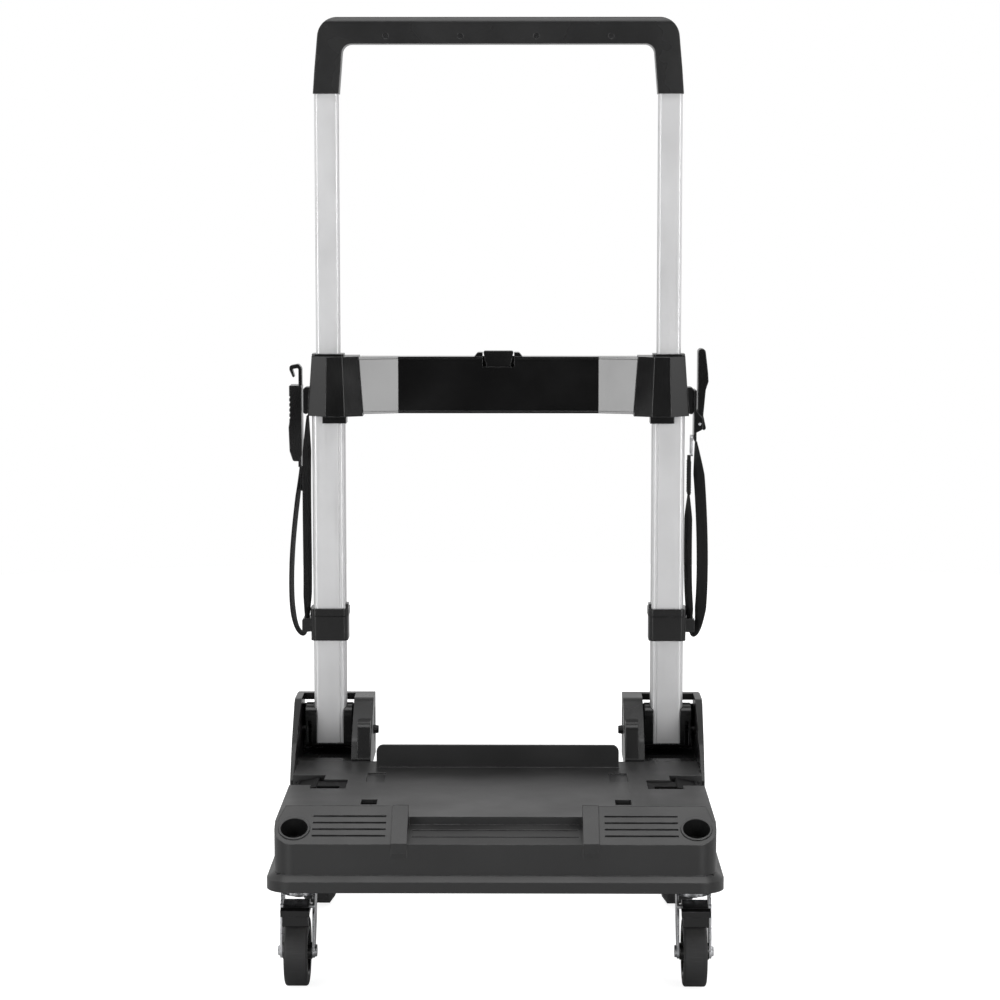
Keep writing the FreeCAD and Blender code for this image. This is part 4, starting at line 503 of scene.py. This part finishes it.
def screw_tree(material):
    """A screw head with a lobed recess on every point, turned by the given rotation."""
    tree, given, out = grouped("Screw heads", "GeometryNodeTree", [
        ("Geometry", "NodeSocketGeometry", None), ("Head radius", "NodeSocketFloat", 0.003),
        ("Head height", "NodeSocketFloat", 0.0015), ("Recess", "NodeSocketFloat", 0.56),
        ("Turn", "NodeSocketVector", None),
    ], [("Geometry", "NodeSocketGeometry")])
    head = add(tree, "GeometryNodeMeshCylinder", {
        "Vertices": 36, "Radius": given["Head radius"], "Depth": given["Head height"]})
    rim = add(tree, "GeometryNodeExtrudeMesh", {
        "Mesh": head.outputs["Mesh"], "Selection": head.outputs["Top"],
        "Offset Scale": maths(tree, "MULTIPLY", given["Head height"], 0.25)}, mode="FACES")
    crowned = add(tree, "GeometryNodeScaleElements", {
        "Geometry": rim.outputs["Mesh"], "Selection": rim.outputs["Top"], "Scale": 0.86})
    lip = add(tree, "GeometryNodeExtrudeMesh", {
        "Mesh": crowned.outputs[0], "Selection": rim.outputs["Top"], "Offset Scale": 0.0}, mode="FACES")
    narrowed = add(tree, "GeometryNodeScaleElements", {
        "Geometry": lip.outputs["Mesh"], "Selection": lip.outputs["Top"], "Scale": given["Recess"]})
    well = add(tree, "GeometryNodeExtrudeMesh", {
        "Mesh": narrowed.outputs[0], "Selection": lip.outputs["Top"],
        "Offset Scale": maths(tree, "MULTIPLY", given["Head height"], -0.7)}, mode="FACES")
    place = add(tree, "GeometryNodeInputPosition").outputs[0]
    parts = add(tree, "ShaderNodeSeparateXYZ", {0: place})
    flat = add(tree, "ShaderNodeCombineXYZ", {0: parts.outputs["X"], 1: parts.outputs["Y"]}).outputs[0]
    reach = add(tree, "ShaderNodeVectorMath", {0: flat}, operation="LENGTH").outputs["Value"]
    bound = maths(tree, "MULTIPLY", given["Head radius"], 0.8)
    inside = add(tree, "FunctionNodeCompare", {0: reach, 1: bound}, operation="LESS_THAN").outputs[0]
    angle = maths(tree, "ARCTAN2", parts.outputs["Y"], parts.outputs["X"])
    lobe = maths(tree, "MULTIPLY", maths(tree, "SINE", maths(tree, "MULTIPLY", angle, LOBES)), LOBE_DEPTH)
    push = add(tree, "ShaderNodeVectorMath", {0: flat, "Scale": lobe}, operation="SCALE").outputs[0]
    lobed = add(tree, "GeometryNodeSetPosition", {
        "Geometry": well.outputs["Mesh"], "Selection": inside, "Offset": push})
    spread = add(tree, "GeometryNodeInstanceOnPoints", {
        "Points": given["Geometry"], "Instance": lobed.outputs[0],
        "Rotation": add(tree, "FunctionNodeEulerToRotation", {0: given["Turn"]}).outputs[0]})
    finish_tree(tree, out, spread.outputs[0], material, smooth=False)
    return tree


def ball_tree(material):
    """Balls on a level ring about each point."""
    tree, given, out = grouped("Bearing balls", "GeometryNodeTree", [
        ("Geometry", "NodeSocketGeometry", None), ("Count", "NodeSocketInt", 26),
        ("Ring radius", "NodeSocketFloat", 0.0155), ("Ball radius", "NodeSocketFloat", 0.0012),
    ], [("Geometry", "NodeSocketGeometry")])
    ring = add(tree, "GeometryNodeMeshCircle", {"Vertices": given["Count"], "Radius": given["Ring radius"]})
    ball = add(tree, "GeometryNodeMeshIcoSphere", {"Radius": given["Ball radius"], "Subdivisions": 2})
    balls = add(tree, "GeometryNodeInstanceOnPoints", {
        "Points": ring.outputs[0], "Instance": ball.outputs[0]})
    rings = add(tree, "GeometryNodeInstanceOnPoints", {
        "Points": given["Geometry"], "Instance": balls.outputs[0]})
    finish_tree(tree, out, rings.outputs[0], material)
    return tree


def tread_tree(material):
    """Slanted bars round a wheel whose axle lies along X, one wheel on each point."""
    tree, given, out = grouped("Tread bars", "GeometryNodeTree", [
        ("Geometry", "NodeSocketGeometry", None), ("Count", "NodeSocketInt", 48),
        ("Wheel radius", "NodeSocketFloat", 0.08), ("Bar length", "NodeSocketFloat", 0.012),
        ("Bar width", "NodeSocketFloat", 0.004), ("Bar height", "NodeSocketFloat", 0.0012),
        ("Row spacing", "NodeSocketFloat", 0.014),
    ], [("Geometry", "NodeSocketGeometry")])
    size = add(tree, "ShaderNodeCombineXYZ", {
        0: given["Bar width"], 1: given["Bar height"], 2: given["Bar length"]})
    bar = add(tree, "GeometryNodeMeshCube", {"Size": size.outputs[0]})
    ring = add(tree, "GeometryNodeMeshCircle", {"Vertices": given["Count"], "Radius": given["Wheel radius"]})
    outward = add(tree, "FunctionNodeAlignRotationToVector", {
        "Vector": add(tree, "GeometryNodeInputPosition").outputs[0]}, axis="Y")
    lean = add(tree, "FunctionNodeEulerToRotation", {0: (0.0, BAR_SLANT, 0.0)})
    slant = add(tree, "FunctionNodeRotateRotation", {0: outward.outputs[0], 1: lean.outputs[0]},
                rotation_space="LOCAL")
    bars = add(tree, "GeometryNodeInstanceOnPoints", {
        "Points": ring.outputs[0], "Instance": bar.outputs[0], "Rotation": slant.outputs[0]})
    upright = add(tree, "GeometryNodeTransform", {
        "Geometry": bars.outputs[0], "Rotation": (0.0, math.pi / 2, 0.0)})
    start = add(tree, "ShaderNodeCombineXYZ", {0: maths(tree, "MULTIPLY", given["Row spacing"], -0.5)})
    shift = add(tree, "ShaderNodeCombineXYZ", {0: given["Row spacing"]})
    rows = add(tree, "GeometryNodeMeshLine", {
        "Count": 2, "Start Location": start.outputs[0], "Offset": shift.outputs[0]})
    paired = add(tree, "GeometryNodeInstanceOnPoints", {
        "Points": rows.outputs[0], "Instance": upright.outputs[0]})
    wheels = add(tree, "GeometryNodeInstanceOnPoints", {
        "Points": given["Geometry"], "Instance": paired.outputs[0]})
    finish_tree(tree, out, wheels.outputs[0], material, smooth=False)
    return tree


def spring_tree(material):
    """A round-wire coil spring standing on every point."""
    tree, given, out = grouped("Coil spring", "GeometryNodeTree", [
        ("Geometry", "NodeSocketGeometry", None), ("Turns", "NodeSocketFloat", 6.0),
        ("Coil radius", "NodeSocketFloat", 0.003), ("Wire radius", "NodeSocketFloat", 0.0008),
        ("Height", "NodeSocketFloat", 0.04),
    ], [("Geometry", "NodeSocketGeometry")])
    line = add(tree, "GeometryNodeCurveSpiral", {
        "Resolution": 28, "Rotations": given["Turns"], "Start Radius": given["Coil radius"],
        "End Radius": given["Coil radius"], "Height": given["Height"]})
    wire = add(tree, "GeometryNodeCurvePrimitiveCircle", {
        "Resolution": 12, "Radius": given["Wire radius"]})
    coil = add(tree, "GeometryNodeCurveToMesh", {
        "Curve": line.outputs[0], "Profile Curve": wire.outputs[0], "Fill Caps": True})
    stood = add(tree, "GeometryNodeInstanceOnPoints", {
        "Points": given["Geometry"], "Instance": coil.outputs[0]})
    finish_tree(tree, out, stood.outputs[0], material)
    return tree


def stitch_tree(material):
    """Stitches laid end to end along every edge chain."""
    tree, given, out = grouped("Stitches", "GeometryNodeTree", [
        ("Geometry", "NodeSocketGeometry", None), ("Stitch", "NodeSocketFloat", 0.0032),
        ("Thread", "NodeSocketFloat", 0.0007),
    ], [("Geometry", "NodeSocketGeometry")])
    line = add(tree, "GeometryNodeMeshToCurve", {0: given["Geometry"]})
    dots = add(tree, "GeometryNodeResampleCurve", {"Curve": line.outputs[0], "Length": given["Stitch"]},
               mode="LENGTH")
    half = maths(tree, "MULTIPLY", given["Thread"], 0.5)
    bead = add(tree, "GeometryNodeMeshIcoSphere", {"Radius": half, "Subdivisions": 2})
    reach = maths(tree, "DIVIDE", maths(tree, "MULTIPLY", given["Stitch"], 0.8), given["Thread"])
    shape = add(tree, "ShaderNodeCombineXYZ", {0: 1.0, 1: 1.0, 2: reach})
    bead_long = add(tree, "GeometryNodeTransform", {
        "Geometry": bead.outputs[0], "Scale": shape.outputs[0]})
    aim = add(tree, "FunctionNodeAlignRotationToVector", {
        "Vector": add(tree, "GeometryNodeInputTangent").outputs[0]}, axis="Z")
    sewn = add(tree, "GeometryNodeInstanceOnPoints", {
        "Points": dots.outputs[0], "Instance": bead_long.outputs[0], "Rotation": aim.outputs[0]})
    finish_tree(tree, out, sewn.outputs[0], material)
    return tree


# ------------------------------------------------------------------- straps

def run_length(points):
    return sum((b - a).length for a, b in zip(points, points[1:]))


def route_line(name, route):
    """Points along the smooth line of a strap, read from its NURBS spline."""
    data = bpy.data.curves.new(name, "CURVE")
    data.dimensions = "3D"
    data.resolution_u = 10
    spline = data.splines.new("NURBS")
    spline.points.add(len(route) - 1)
    for point, (x, z) in zip(spline.points, route):
        point.co = (x, STRAP_Y, z, 1.0)
    spline.order_u = 3
    spline.use_endpoint_u = True
    holder = bpy.data.objects.new(name, data)
    bpy.context.collection.objects.link(holder)
    sampled = bpy.data.meshes.new_from_object(holder)
    points = [vert.co.copy() for vert in sampled.vertices]
    bpy.data.objects.remove(holder)
    return points


def strap_section(width, thick):
    """Half-round edged outline of the webbing, as (across, through) pairs."""
    flat = width / 2 - thick / 2
    outline = []
    for centre, start in ((flat, -90), (-flat, 90)):
        for step in range(5):
            angle = math.radians(start + 45 * step)
            outline.append((centre + math.cos(angle) * thick / 2, math.sin(angle) * thick / 2))
    return outline


def ribbon(name, points, settings, turn, material):
    """A strap run of constant width that turns about its line by the given angle between its ends."""
    outline = strap_section(settings.width, settings.thickness)
    verts, uvs = [], []
    travelled = 0.0
    total = run_length(points)
    girth = [0.0]
    for first, second in zip(outline, outline[1:]):
        girth.append(girth[-1] + math.dist(first, second))
    for index, point in enumerate(points):
        before = points[max(index - 1, 0)]
        after = points[min(index + 1, len(points) - 1)]
        along = (after - before).normalized()
        if index:
            travelled += (point - points[index - 1]).length
        share = travelled / total
        angle = math.radians(turn) * min(1.0, 2 * math.sin(math.pi * share))
        through = along.cross(Vector((0, 1, 0))).normalized()
        across = Vector((0, 1, 0)) * math.cos(angle) + through * math.sin(angle)
        outward = along.cross(across).normalized()
        for (wide, deep), around in zip(outline, girth):
            verts.append(point + across * wide + outward * deep)
            uvs.append((travelled, around))
    return rings_mesh(name, verts, uvs, len(outline), material)


class CART_OT_straps(bpy.types.Operator):
    """Weaves the four strap runs and the sewn end."""
    bl_idname = "cart.straps"
    bl_label = "Straps"

    def execute(self, context):
        settings = context.scene.cart_strap
        material = bpy.data.materials["Woven webbing"]
        runs = {}
        for name, route in STRAP_ROUTES.items():
            points = route_line("line_" + name, route)
            piece = ribbon("webbing_" + name, points, settings, STRAP_TURNS[name], material)
            runs[name] = (piece, points)
        sewn = self.sewn_end(settings, material)
        stitches = self.stitches(settings)
        fold = ribbon("webbing_spare_fold", route_line("line_fold", SPARE_FOLD), settings, 0, material)
        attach(fold, "posts")
        extras = {"right_inner": [sewn, stitches], "left_outer": [fold]}
        for name, (piece, points) in runs.items():
            self.hang(piece, points, "strap_" + name, settings.width, extras.get(name, []))
        return {"FINISHED"}

    def hang(self, piece, points, node, width, extra):
        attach(piece, "posts")
        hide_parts(node)

    def sewn_end(self, settings, material):
        """The folded, double end of the right strap that holds the wire ring."""
        low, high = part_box("strap_sewn_end")
        centre = (low.x + high.x) / 2
        verts, uvs = [], []
        outline = strap_section(settings.width, high.x - low.x)
        steps = 12
        for step in range(steps + 1):
            height = low.z + (high.z - low.z) * step / steps
            pinch = 0.82 + 0.18 * min(1.0, step / 3, (steps - step) / 3)
            for wide, deep in outline:
                verts.append((centre + deep * pinch, STRAP_Y + wide, height))
                uvs.append((height, wide))
        piece = rings_mesh("webbing_sewn_end", verts, uvs, len(outline), material)
        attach(piece, "posts")
        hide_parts("strap_sewn_end")
        return piece

    def stitches(self, settings):
        """A boxed cross of stitches on both faces of the sewn end."""
        low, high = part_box("strap_sewn_end")
        inset = settings.thread * 4
        near, far = low.y + inset, high.y - inset
        bottom, top = low.z + inset, high.z - inset * 2.5
        points, edges = [], []
        for x in (low.x, high.x):
            start = len(points)
            points += [(x, near, bottom), (x, far, bottom), (x, far, top), (x, near, top)]
            edges += [(start + step, start + (step + 1) % 4) for step in range(4)]
            cross = len(points)
            points += [(x, near, bottom), (x, far, top), (x, far, bottom), (x, near, top)]
            edges += [(cross, cross + 1), (cross + 2, cross + 3)]
        tree = stitch_tree(bpy.data.materials["Sewing thread"])
        piece = grown("sewn_end_stitches", tree, points, edges, {
            "Stitch": settings.stitch, "Thread": settings.thread})
        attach(piece, "posts")
        return piece


# ---------------------------------------------------------------- operators

class CART_OT_finishes(bpy.types.Operator):
    """Makes the shared node groups and the cart's materials."""
    bl_idname = "cart.finishes"
    bl_label = "Finishes"

    def execute(self, context):
        tones = context.scene.cart_finish
        for make in (edge_wear_highlight_group, grain_group, dust_group, drawn_lines_group, weave_group):
            make()
        # Deck, satin and housing plastics raise the edge gain above the default, so their edges carry a
        # painted highlight as well as wear.
        moulded("Deck plastic", tones.deck, roughness=0.38, grain=1100.0, depth=0.00004,
                edge=0.0014, dust=0.05, wear_and_highlight=5, specular=0.4)
        moulded("Satin plastic", tones.satin, roughness=0.21, grain=1300.0, depth=0.00003,
                edge=0.0014, dust=0.03, wear_and_highlight=24, specular=0.38)
        moulded("Housing plastic", tones.housing, roughness=0.27, grain=1200.0, depth=0.00004,
                edge=0.0016, dust=0.04, wear_and_highlight=9, specular=0.34)
        moulded("Latch plastic", tones.satin, roughness=0.5, grain=1200.0, depth=0.00003,
                edge=0.001, dust=0.0, specular=0.08)
        moulded("Gloss plastic", tones.gloss, roughness=0.14, grain=60.0, depth=0.000015,
                edge=0.001, dust=0.02, coat=0.3)
        moulded("Grip plastic", tones.grip, roughness=0.28, grain=1200.0, depth=0.00004,
                edge=0.0018, dust=0.04, specular=0.36)
        metal("Anodised aluminium", tones.aluminium, roughness=0.36, stretch=(1500.0, 1500.0, 5.0),
              depth=0.00001, edge=0.0012, metallic=0.5)
        metal("Bright zinc", tones.zinc, roughness=0.3, stretch=(400.0, 400.0, 400.0), depth=0.00001)
        metal("Blackened steel", BLACKENED, roughness=0.45, stretch=(500.0, 500.0, 500.0),
              depth=0.00002, metallic=0.6)
        rubber("Tyre rubber", tones.rubber)
        woven("Woven webbing", tones.webbing)
        thread_finish("Sewing thread", tones.webbing)
        return {"FINISHED"}


class CART_OT_deck(bpy.types.Operator):
    """Finishes the deck, its hinge housings, sockets, latches, pins and rear axle."""
    bl_idname = "cart.deck"
    bl_label = "Deck"

    def execute(self, context):
        put_on("Deck plastic", "deck_shell", "socket_liners")
        put_on("Housing plastic", *both("hinge_housing"))
        put_on("Latch plastic", *both("fold_latch"))
        put_on("Satin plastic", "axle_caps")
        put_on("Bright zinc", "latch_pins", "rear_axle")
        put_on("Blackened steel", "hinge_pins")
        return {"FINISHED"}


class CART_OT_posts(bpy.types.Operator):
    """Finishes the tubes, shoes, brackets, brace, lock rods, collars and grip."""
    bl_idname = "cart.posts"
    bl_label = "Posts"

    def execute(self, context):
        put_on("Anodised aluminium", *both("outer_tube", "inner_tube"))
        put_on("Satin plastic", "tube_bushes", "glide_blocks", "release_button",
               "brace_cover", *both("post_shoe", "corner_bracket", "strap_collar"))
        put_on("Gloss plastic", "brace_panel")
        put_on("Grip plastic", "handle_grip")
        put_on("Bright zinc", *both("lock_rod"))
        return {"FINISHED"}


class CART_OT_spring(bpy.types.Operator):
    """Winds the release button's spring."""
    bl_idname = "cart.spring"
    bl_label = "Button spring"

    def execute(self, context):
        settings = context.scene.cart_hardware
        low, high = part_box("button_spring")
        centre = (low + high) / 2
        wire = settings.spring_wire
        height = high.z - low.z - wire * 2
        foot = (centre.x, centre.y, low.z + wire)
        tree = spring_tree(bpy.data.materials["Bright zinc"])
        coil = grown("button_coil", tree, [foot], [], {
            "Turns": height / settings.spring_pitch, "Coil radius": (high.x - low.x) / 2 - wire,
            "Wire radius": wire, "Height": height})
        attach(coil, "posts")
        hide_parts("button_spring")
        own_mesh(coil)
        return {"FINISHED"}


class CART_OT_buckles(bpy.types.Operator):
    """Finishes the hook buckle, the cam buckle and the wire ring."""
    bl_idname = "cart.buckles"
    bl_label = "Buckles"

    def execute(self, context):
        put_on("Satin plastic", "hook_buckle_body", "strap_hook", "cam_buckle_base", "cam_lever")
        put_on("Bright zinc", "cam_pin", "wire_ring")
        return {"FINISHED"}


class CART_OT_wheels(bpy.types.Operator):
    """Finishes the wheels and casters and adds their bearing balls and tread."""
    bl_idname = "cart.wheels"
    bl_label = "Wheels"

    def execute(self, context):
        settings = context.scene.cart_hardware
        put_on("Tyre rubber", *both("rear_tyre", "caster_tyre"))
        put_on("Satin plastic", *both("rear_hub", "caster_hub", "brake_pedal"))
        put_on("Bright zinc", *both("caster_plate", "caster_fork", "caster_axle"))
        balls = ball_tree(bpy.data.materials["Bright zinc"])
        bars = tread_tree(bpy.data.materials["Tyre rubber"])
        points = []
        for side, _ in SIDES:
            low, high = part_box("caster_plate_" + side)
            fork_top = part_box("caster_fork_" + side)[1].z
            points.append((
                (low.x + high.x) / 2, (low.y + high.y) / 2, (low.z + fork_top) / 2 + RACE_LIFT))
            low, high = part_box("rear_tyre_" + side)
            middle = (low + high) / 2
            radius = (high.z - low.z) / 2
            tread = grown("tread_bars_" + side, bars, [tuple(middle)], [], {
                "Count": settings.tread_bars, "Wheel radius": radius - BAR_HEIGHT * BAR_SINK,
                "Bar height": BAR_HEIGHT})
            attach(tread, "rear_wheel_" + side)
        race = grown("bearing_balls", balls, points, [], {
            "Count": settings.balls, "Ball radius": settings.ball_size, "Ring radius": RACE_RADIUS})
        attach(race, "deck")
        return {"FINISHED"}


class CART_OT_screws(bpy.types.Operator):
    """Puts recessed screw heads over the grip's and the brace's CAD screws, and finishes all the screws."""
    bl_idname = "cart.screws"
    bl_label = "Screws"

    def execute(self, context):
        settings = context.scene.cart_hardware
        dark = screw_tree(bpy.data.materials["Blackened steel"])
        for node, body, slot, turn in (
                ("grip_screws", "handle", "black_steel", (math.pi / 2, 0, 0)),
                ("brace_screws", "posts", "black_steel", (-math.pi / 2, 0, 0))):
            self.place(node, body, slot, turn, dark, settings)
        put_on("Bright zinc", "housing_screws", "caster_screws")
        put_on("Blackened steel", "grip_screws", "brace_screws")
        return {"FINISHED"}

    def place(self, node, body, slot, turn, tree, settings):
        """Puts a head on the outward end of each screw of a CAD node."""
        boxes = solids_of(node)
        radius = (boxes[0][1].x - boxes[0][0].x) / 2
        outward = -1 if turn[0] > 0 else 1
        points = []
        for low, high in boxes:
            face = low.y if outward < 0 else high.y
            level = face + outward * (HEAD_HEIGHT / 2 - HEAD_SINK)
            points.append(((low.x + high.x) / 2, level, (low.z + high.z) / 2))
        piece = grown(node + "_heads", tree, points, [], {
            "Head radius": radius, "Head height": HEAD_HEIGHT, "Recess": settings.recess, "Turn": turn})
        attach(piece, body)


class CART_OT_stage(bpy.types.Operator):
    """Sets the floor, the studio lights and the camera."""
    bl_idname = "cart.stage"
    bl_label = "Stage"

    def execute(self, context):
        settings = context.scene.cart_stage
        context.scene.view_settings.view_transform = "Standard"
        self.camera(settings)
        self.surroundings(settings)
        self.floor(settings)
        aim = (0, 0.1, 0.6)
        self.light("Overhead", (0, -0.35, 2.6), (0, -0.05, 0.2), (2.6, 1.8), settings.key)
        for side, sign in SIDES:
            self.light("Front_" + side, (sign * 1.45, -2.6, 0.75), aim, (0.8, 2.2), settings.sides)
            self.light("Side_" + side, (sign * 2.5, -0.1, 0.9), aim, (1.8, 2.2),
                       settings.sides * SIDE_SHARE)
        return {"FINISHED"}

    def camera(self, settings):
        data = bpy.data.cameras.new("Camera")
        data.lens = settings.lens
        data.sensor_width = 36
        data.clip_end = 50
        camera = bpy.data.objects.new("Camera", data)
        camera.location = CAMERA_PLACE
        camera.rotation_euler = (math.radians(90 - CAMERA_DOWN), 0, math.radians(CAMERA_ASIDE))
        bpy.context.collection.objects.link(camera)
        bpy.context.scene.camera = camera

    def surroundings(self, settings):
        """White to the camera; as a light on the cart, dimmer from the front."""
        world = bpy.data.worlds.new("Studio")
        bpy.context.scene.world = world
        world.use_nodes = True
        tree = world.node_tree
        tree.nodes.clear()
        seen = add(tree, "ShaderNodeLightPath").outputs["Is Camera Ray"]
        way = add(tree, "ShaderNodeSeparateXYZ", {0: add(tree, "ShaderNodeTexCoord").outputs["Generated"]})
        behind = ramp(tree, way.outputs["Y"], -0.35, 0.5, settings.fill * 0.1, settings.fill)
        strength = add(tree, "ShaderNodeMix", {0: seen, 2: behind, 3: 1.0}).outputs[0]
        back = add(tree, "ShaderNodeBackground", {"Color": (1, 1, 1, 1), "Strength": strength})
        add(tree, "ShaderNodeOutputWorld", {"Surface": back.outputs[0]})

    def floor(self, settings):
        made = Finish("Studio floor", 0.9, specular=0.1)
        speckle = made.use("Moulded grain", Vector=made.place, Size=40.0)
        tone = mix(made.tree, speckle["Tone"], rgba(settings.floor, 0.99), rgba(settings.floor))
        made.feed("Base Color", tone)
        made.surface.inputs["Emission Color"].default_value = (1, 1, 1, 1)
        seen = add(made.tree, "ShaderNodeLightPath").outputs["Is Camera Ray"]
        made.feed("Emission Strength", maths(made.tree, "MULTIPLY", seen, settings.glow))
        data = bpy.data.meshes.new("floor")
        steps = 96
        turns = [math.tau * step / steps for step in range(steps)]
        rim = [(FLOOR_RADIUS * math.cos(turn), FLOOR_RADIUS * math.sin(turn), 0) for turn in turns]
        data.from_pydata(rim, [], [tuple(range(steps))])
        data.materials.append(made.material)
        floor = bpy.data.objects.new("floor", data)
        bpy.context.collection.objects.link(floor)

    def light(self, name, place, aim, size, power):
        data = bpy.data.lights.new(name, "AREA")
        data.shape = "RECTANGLE"
        data.size, data.size_y = size
        data.energy = power
        lamp = bpy.data.objects.new(name, data)
        lamp.location = place
        lamp.rotation_euler = (Vector(aim) - Vector(place)).to_track_quat("-Z", "Y").to_euler()
        bpy.context.collection.objects.link(lamp)


class CART_PT_panel(bpy.types.Panel):
    """Lists the cart's settings and steps."""
    bl_idname = "CART_PT_panel"
    bl_label = "Folding Platform Cart"
    bl_space_type = "VIEW_3D"
    bl_region_type = "UI"
    bl_category = "Cart"

    def draw(self, context):
        for group in SETTINGS:
            for key in SETTINGS[group].__annotations__:
                self.layout.prop(getattr(context.scene, group), key)
        for step in STEPS:
            self.layout.operator(step.bl_idname)


SETTINGS = {"cart_finish": CartFinish, "cart_strap": CartStrap, "cart_hardware": CartHardware,
            "cart_stage": CartStage}
STEPS = (CART_OT_finishes, CART_OT_straps, CART_OT_stage, CART_OT_deck, CART_OT_posts, CART_OT_spring,
         CART_OT_buckles, CART_OT_wheels, CART_OT_screws)


def register():
    for kind in (*SETTINGS.values(), *STEPS, CART_PT_panel):
        bpy.utils.register_class(kind)
    for name, kind in SETTINGS.items():
        setattr(bpy.types.Scene, name, PointerProperty(type=kind))


def unregister():
    for name in SETTINGS:
        delattr(bpy.types.Scene, name)
    for kind in (CART_PT_panel, *reversed(STEPS), *reversed(SETTINGS.values())):
        bpy.utils.unregister_class(kind)


def main():
    register()
    for step in STEPS:
        getattr(bpy.ops.cart, step.bl_idname.split(".")[1])()


if __name__ == "__main__":
    main()
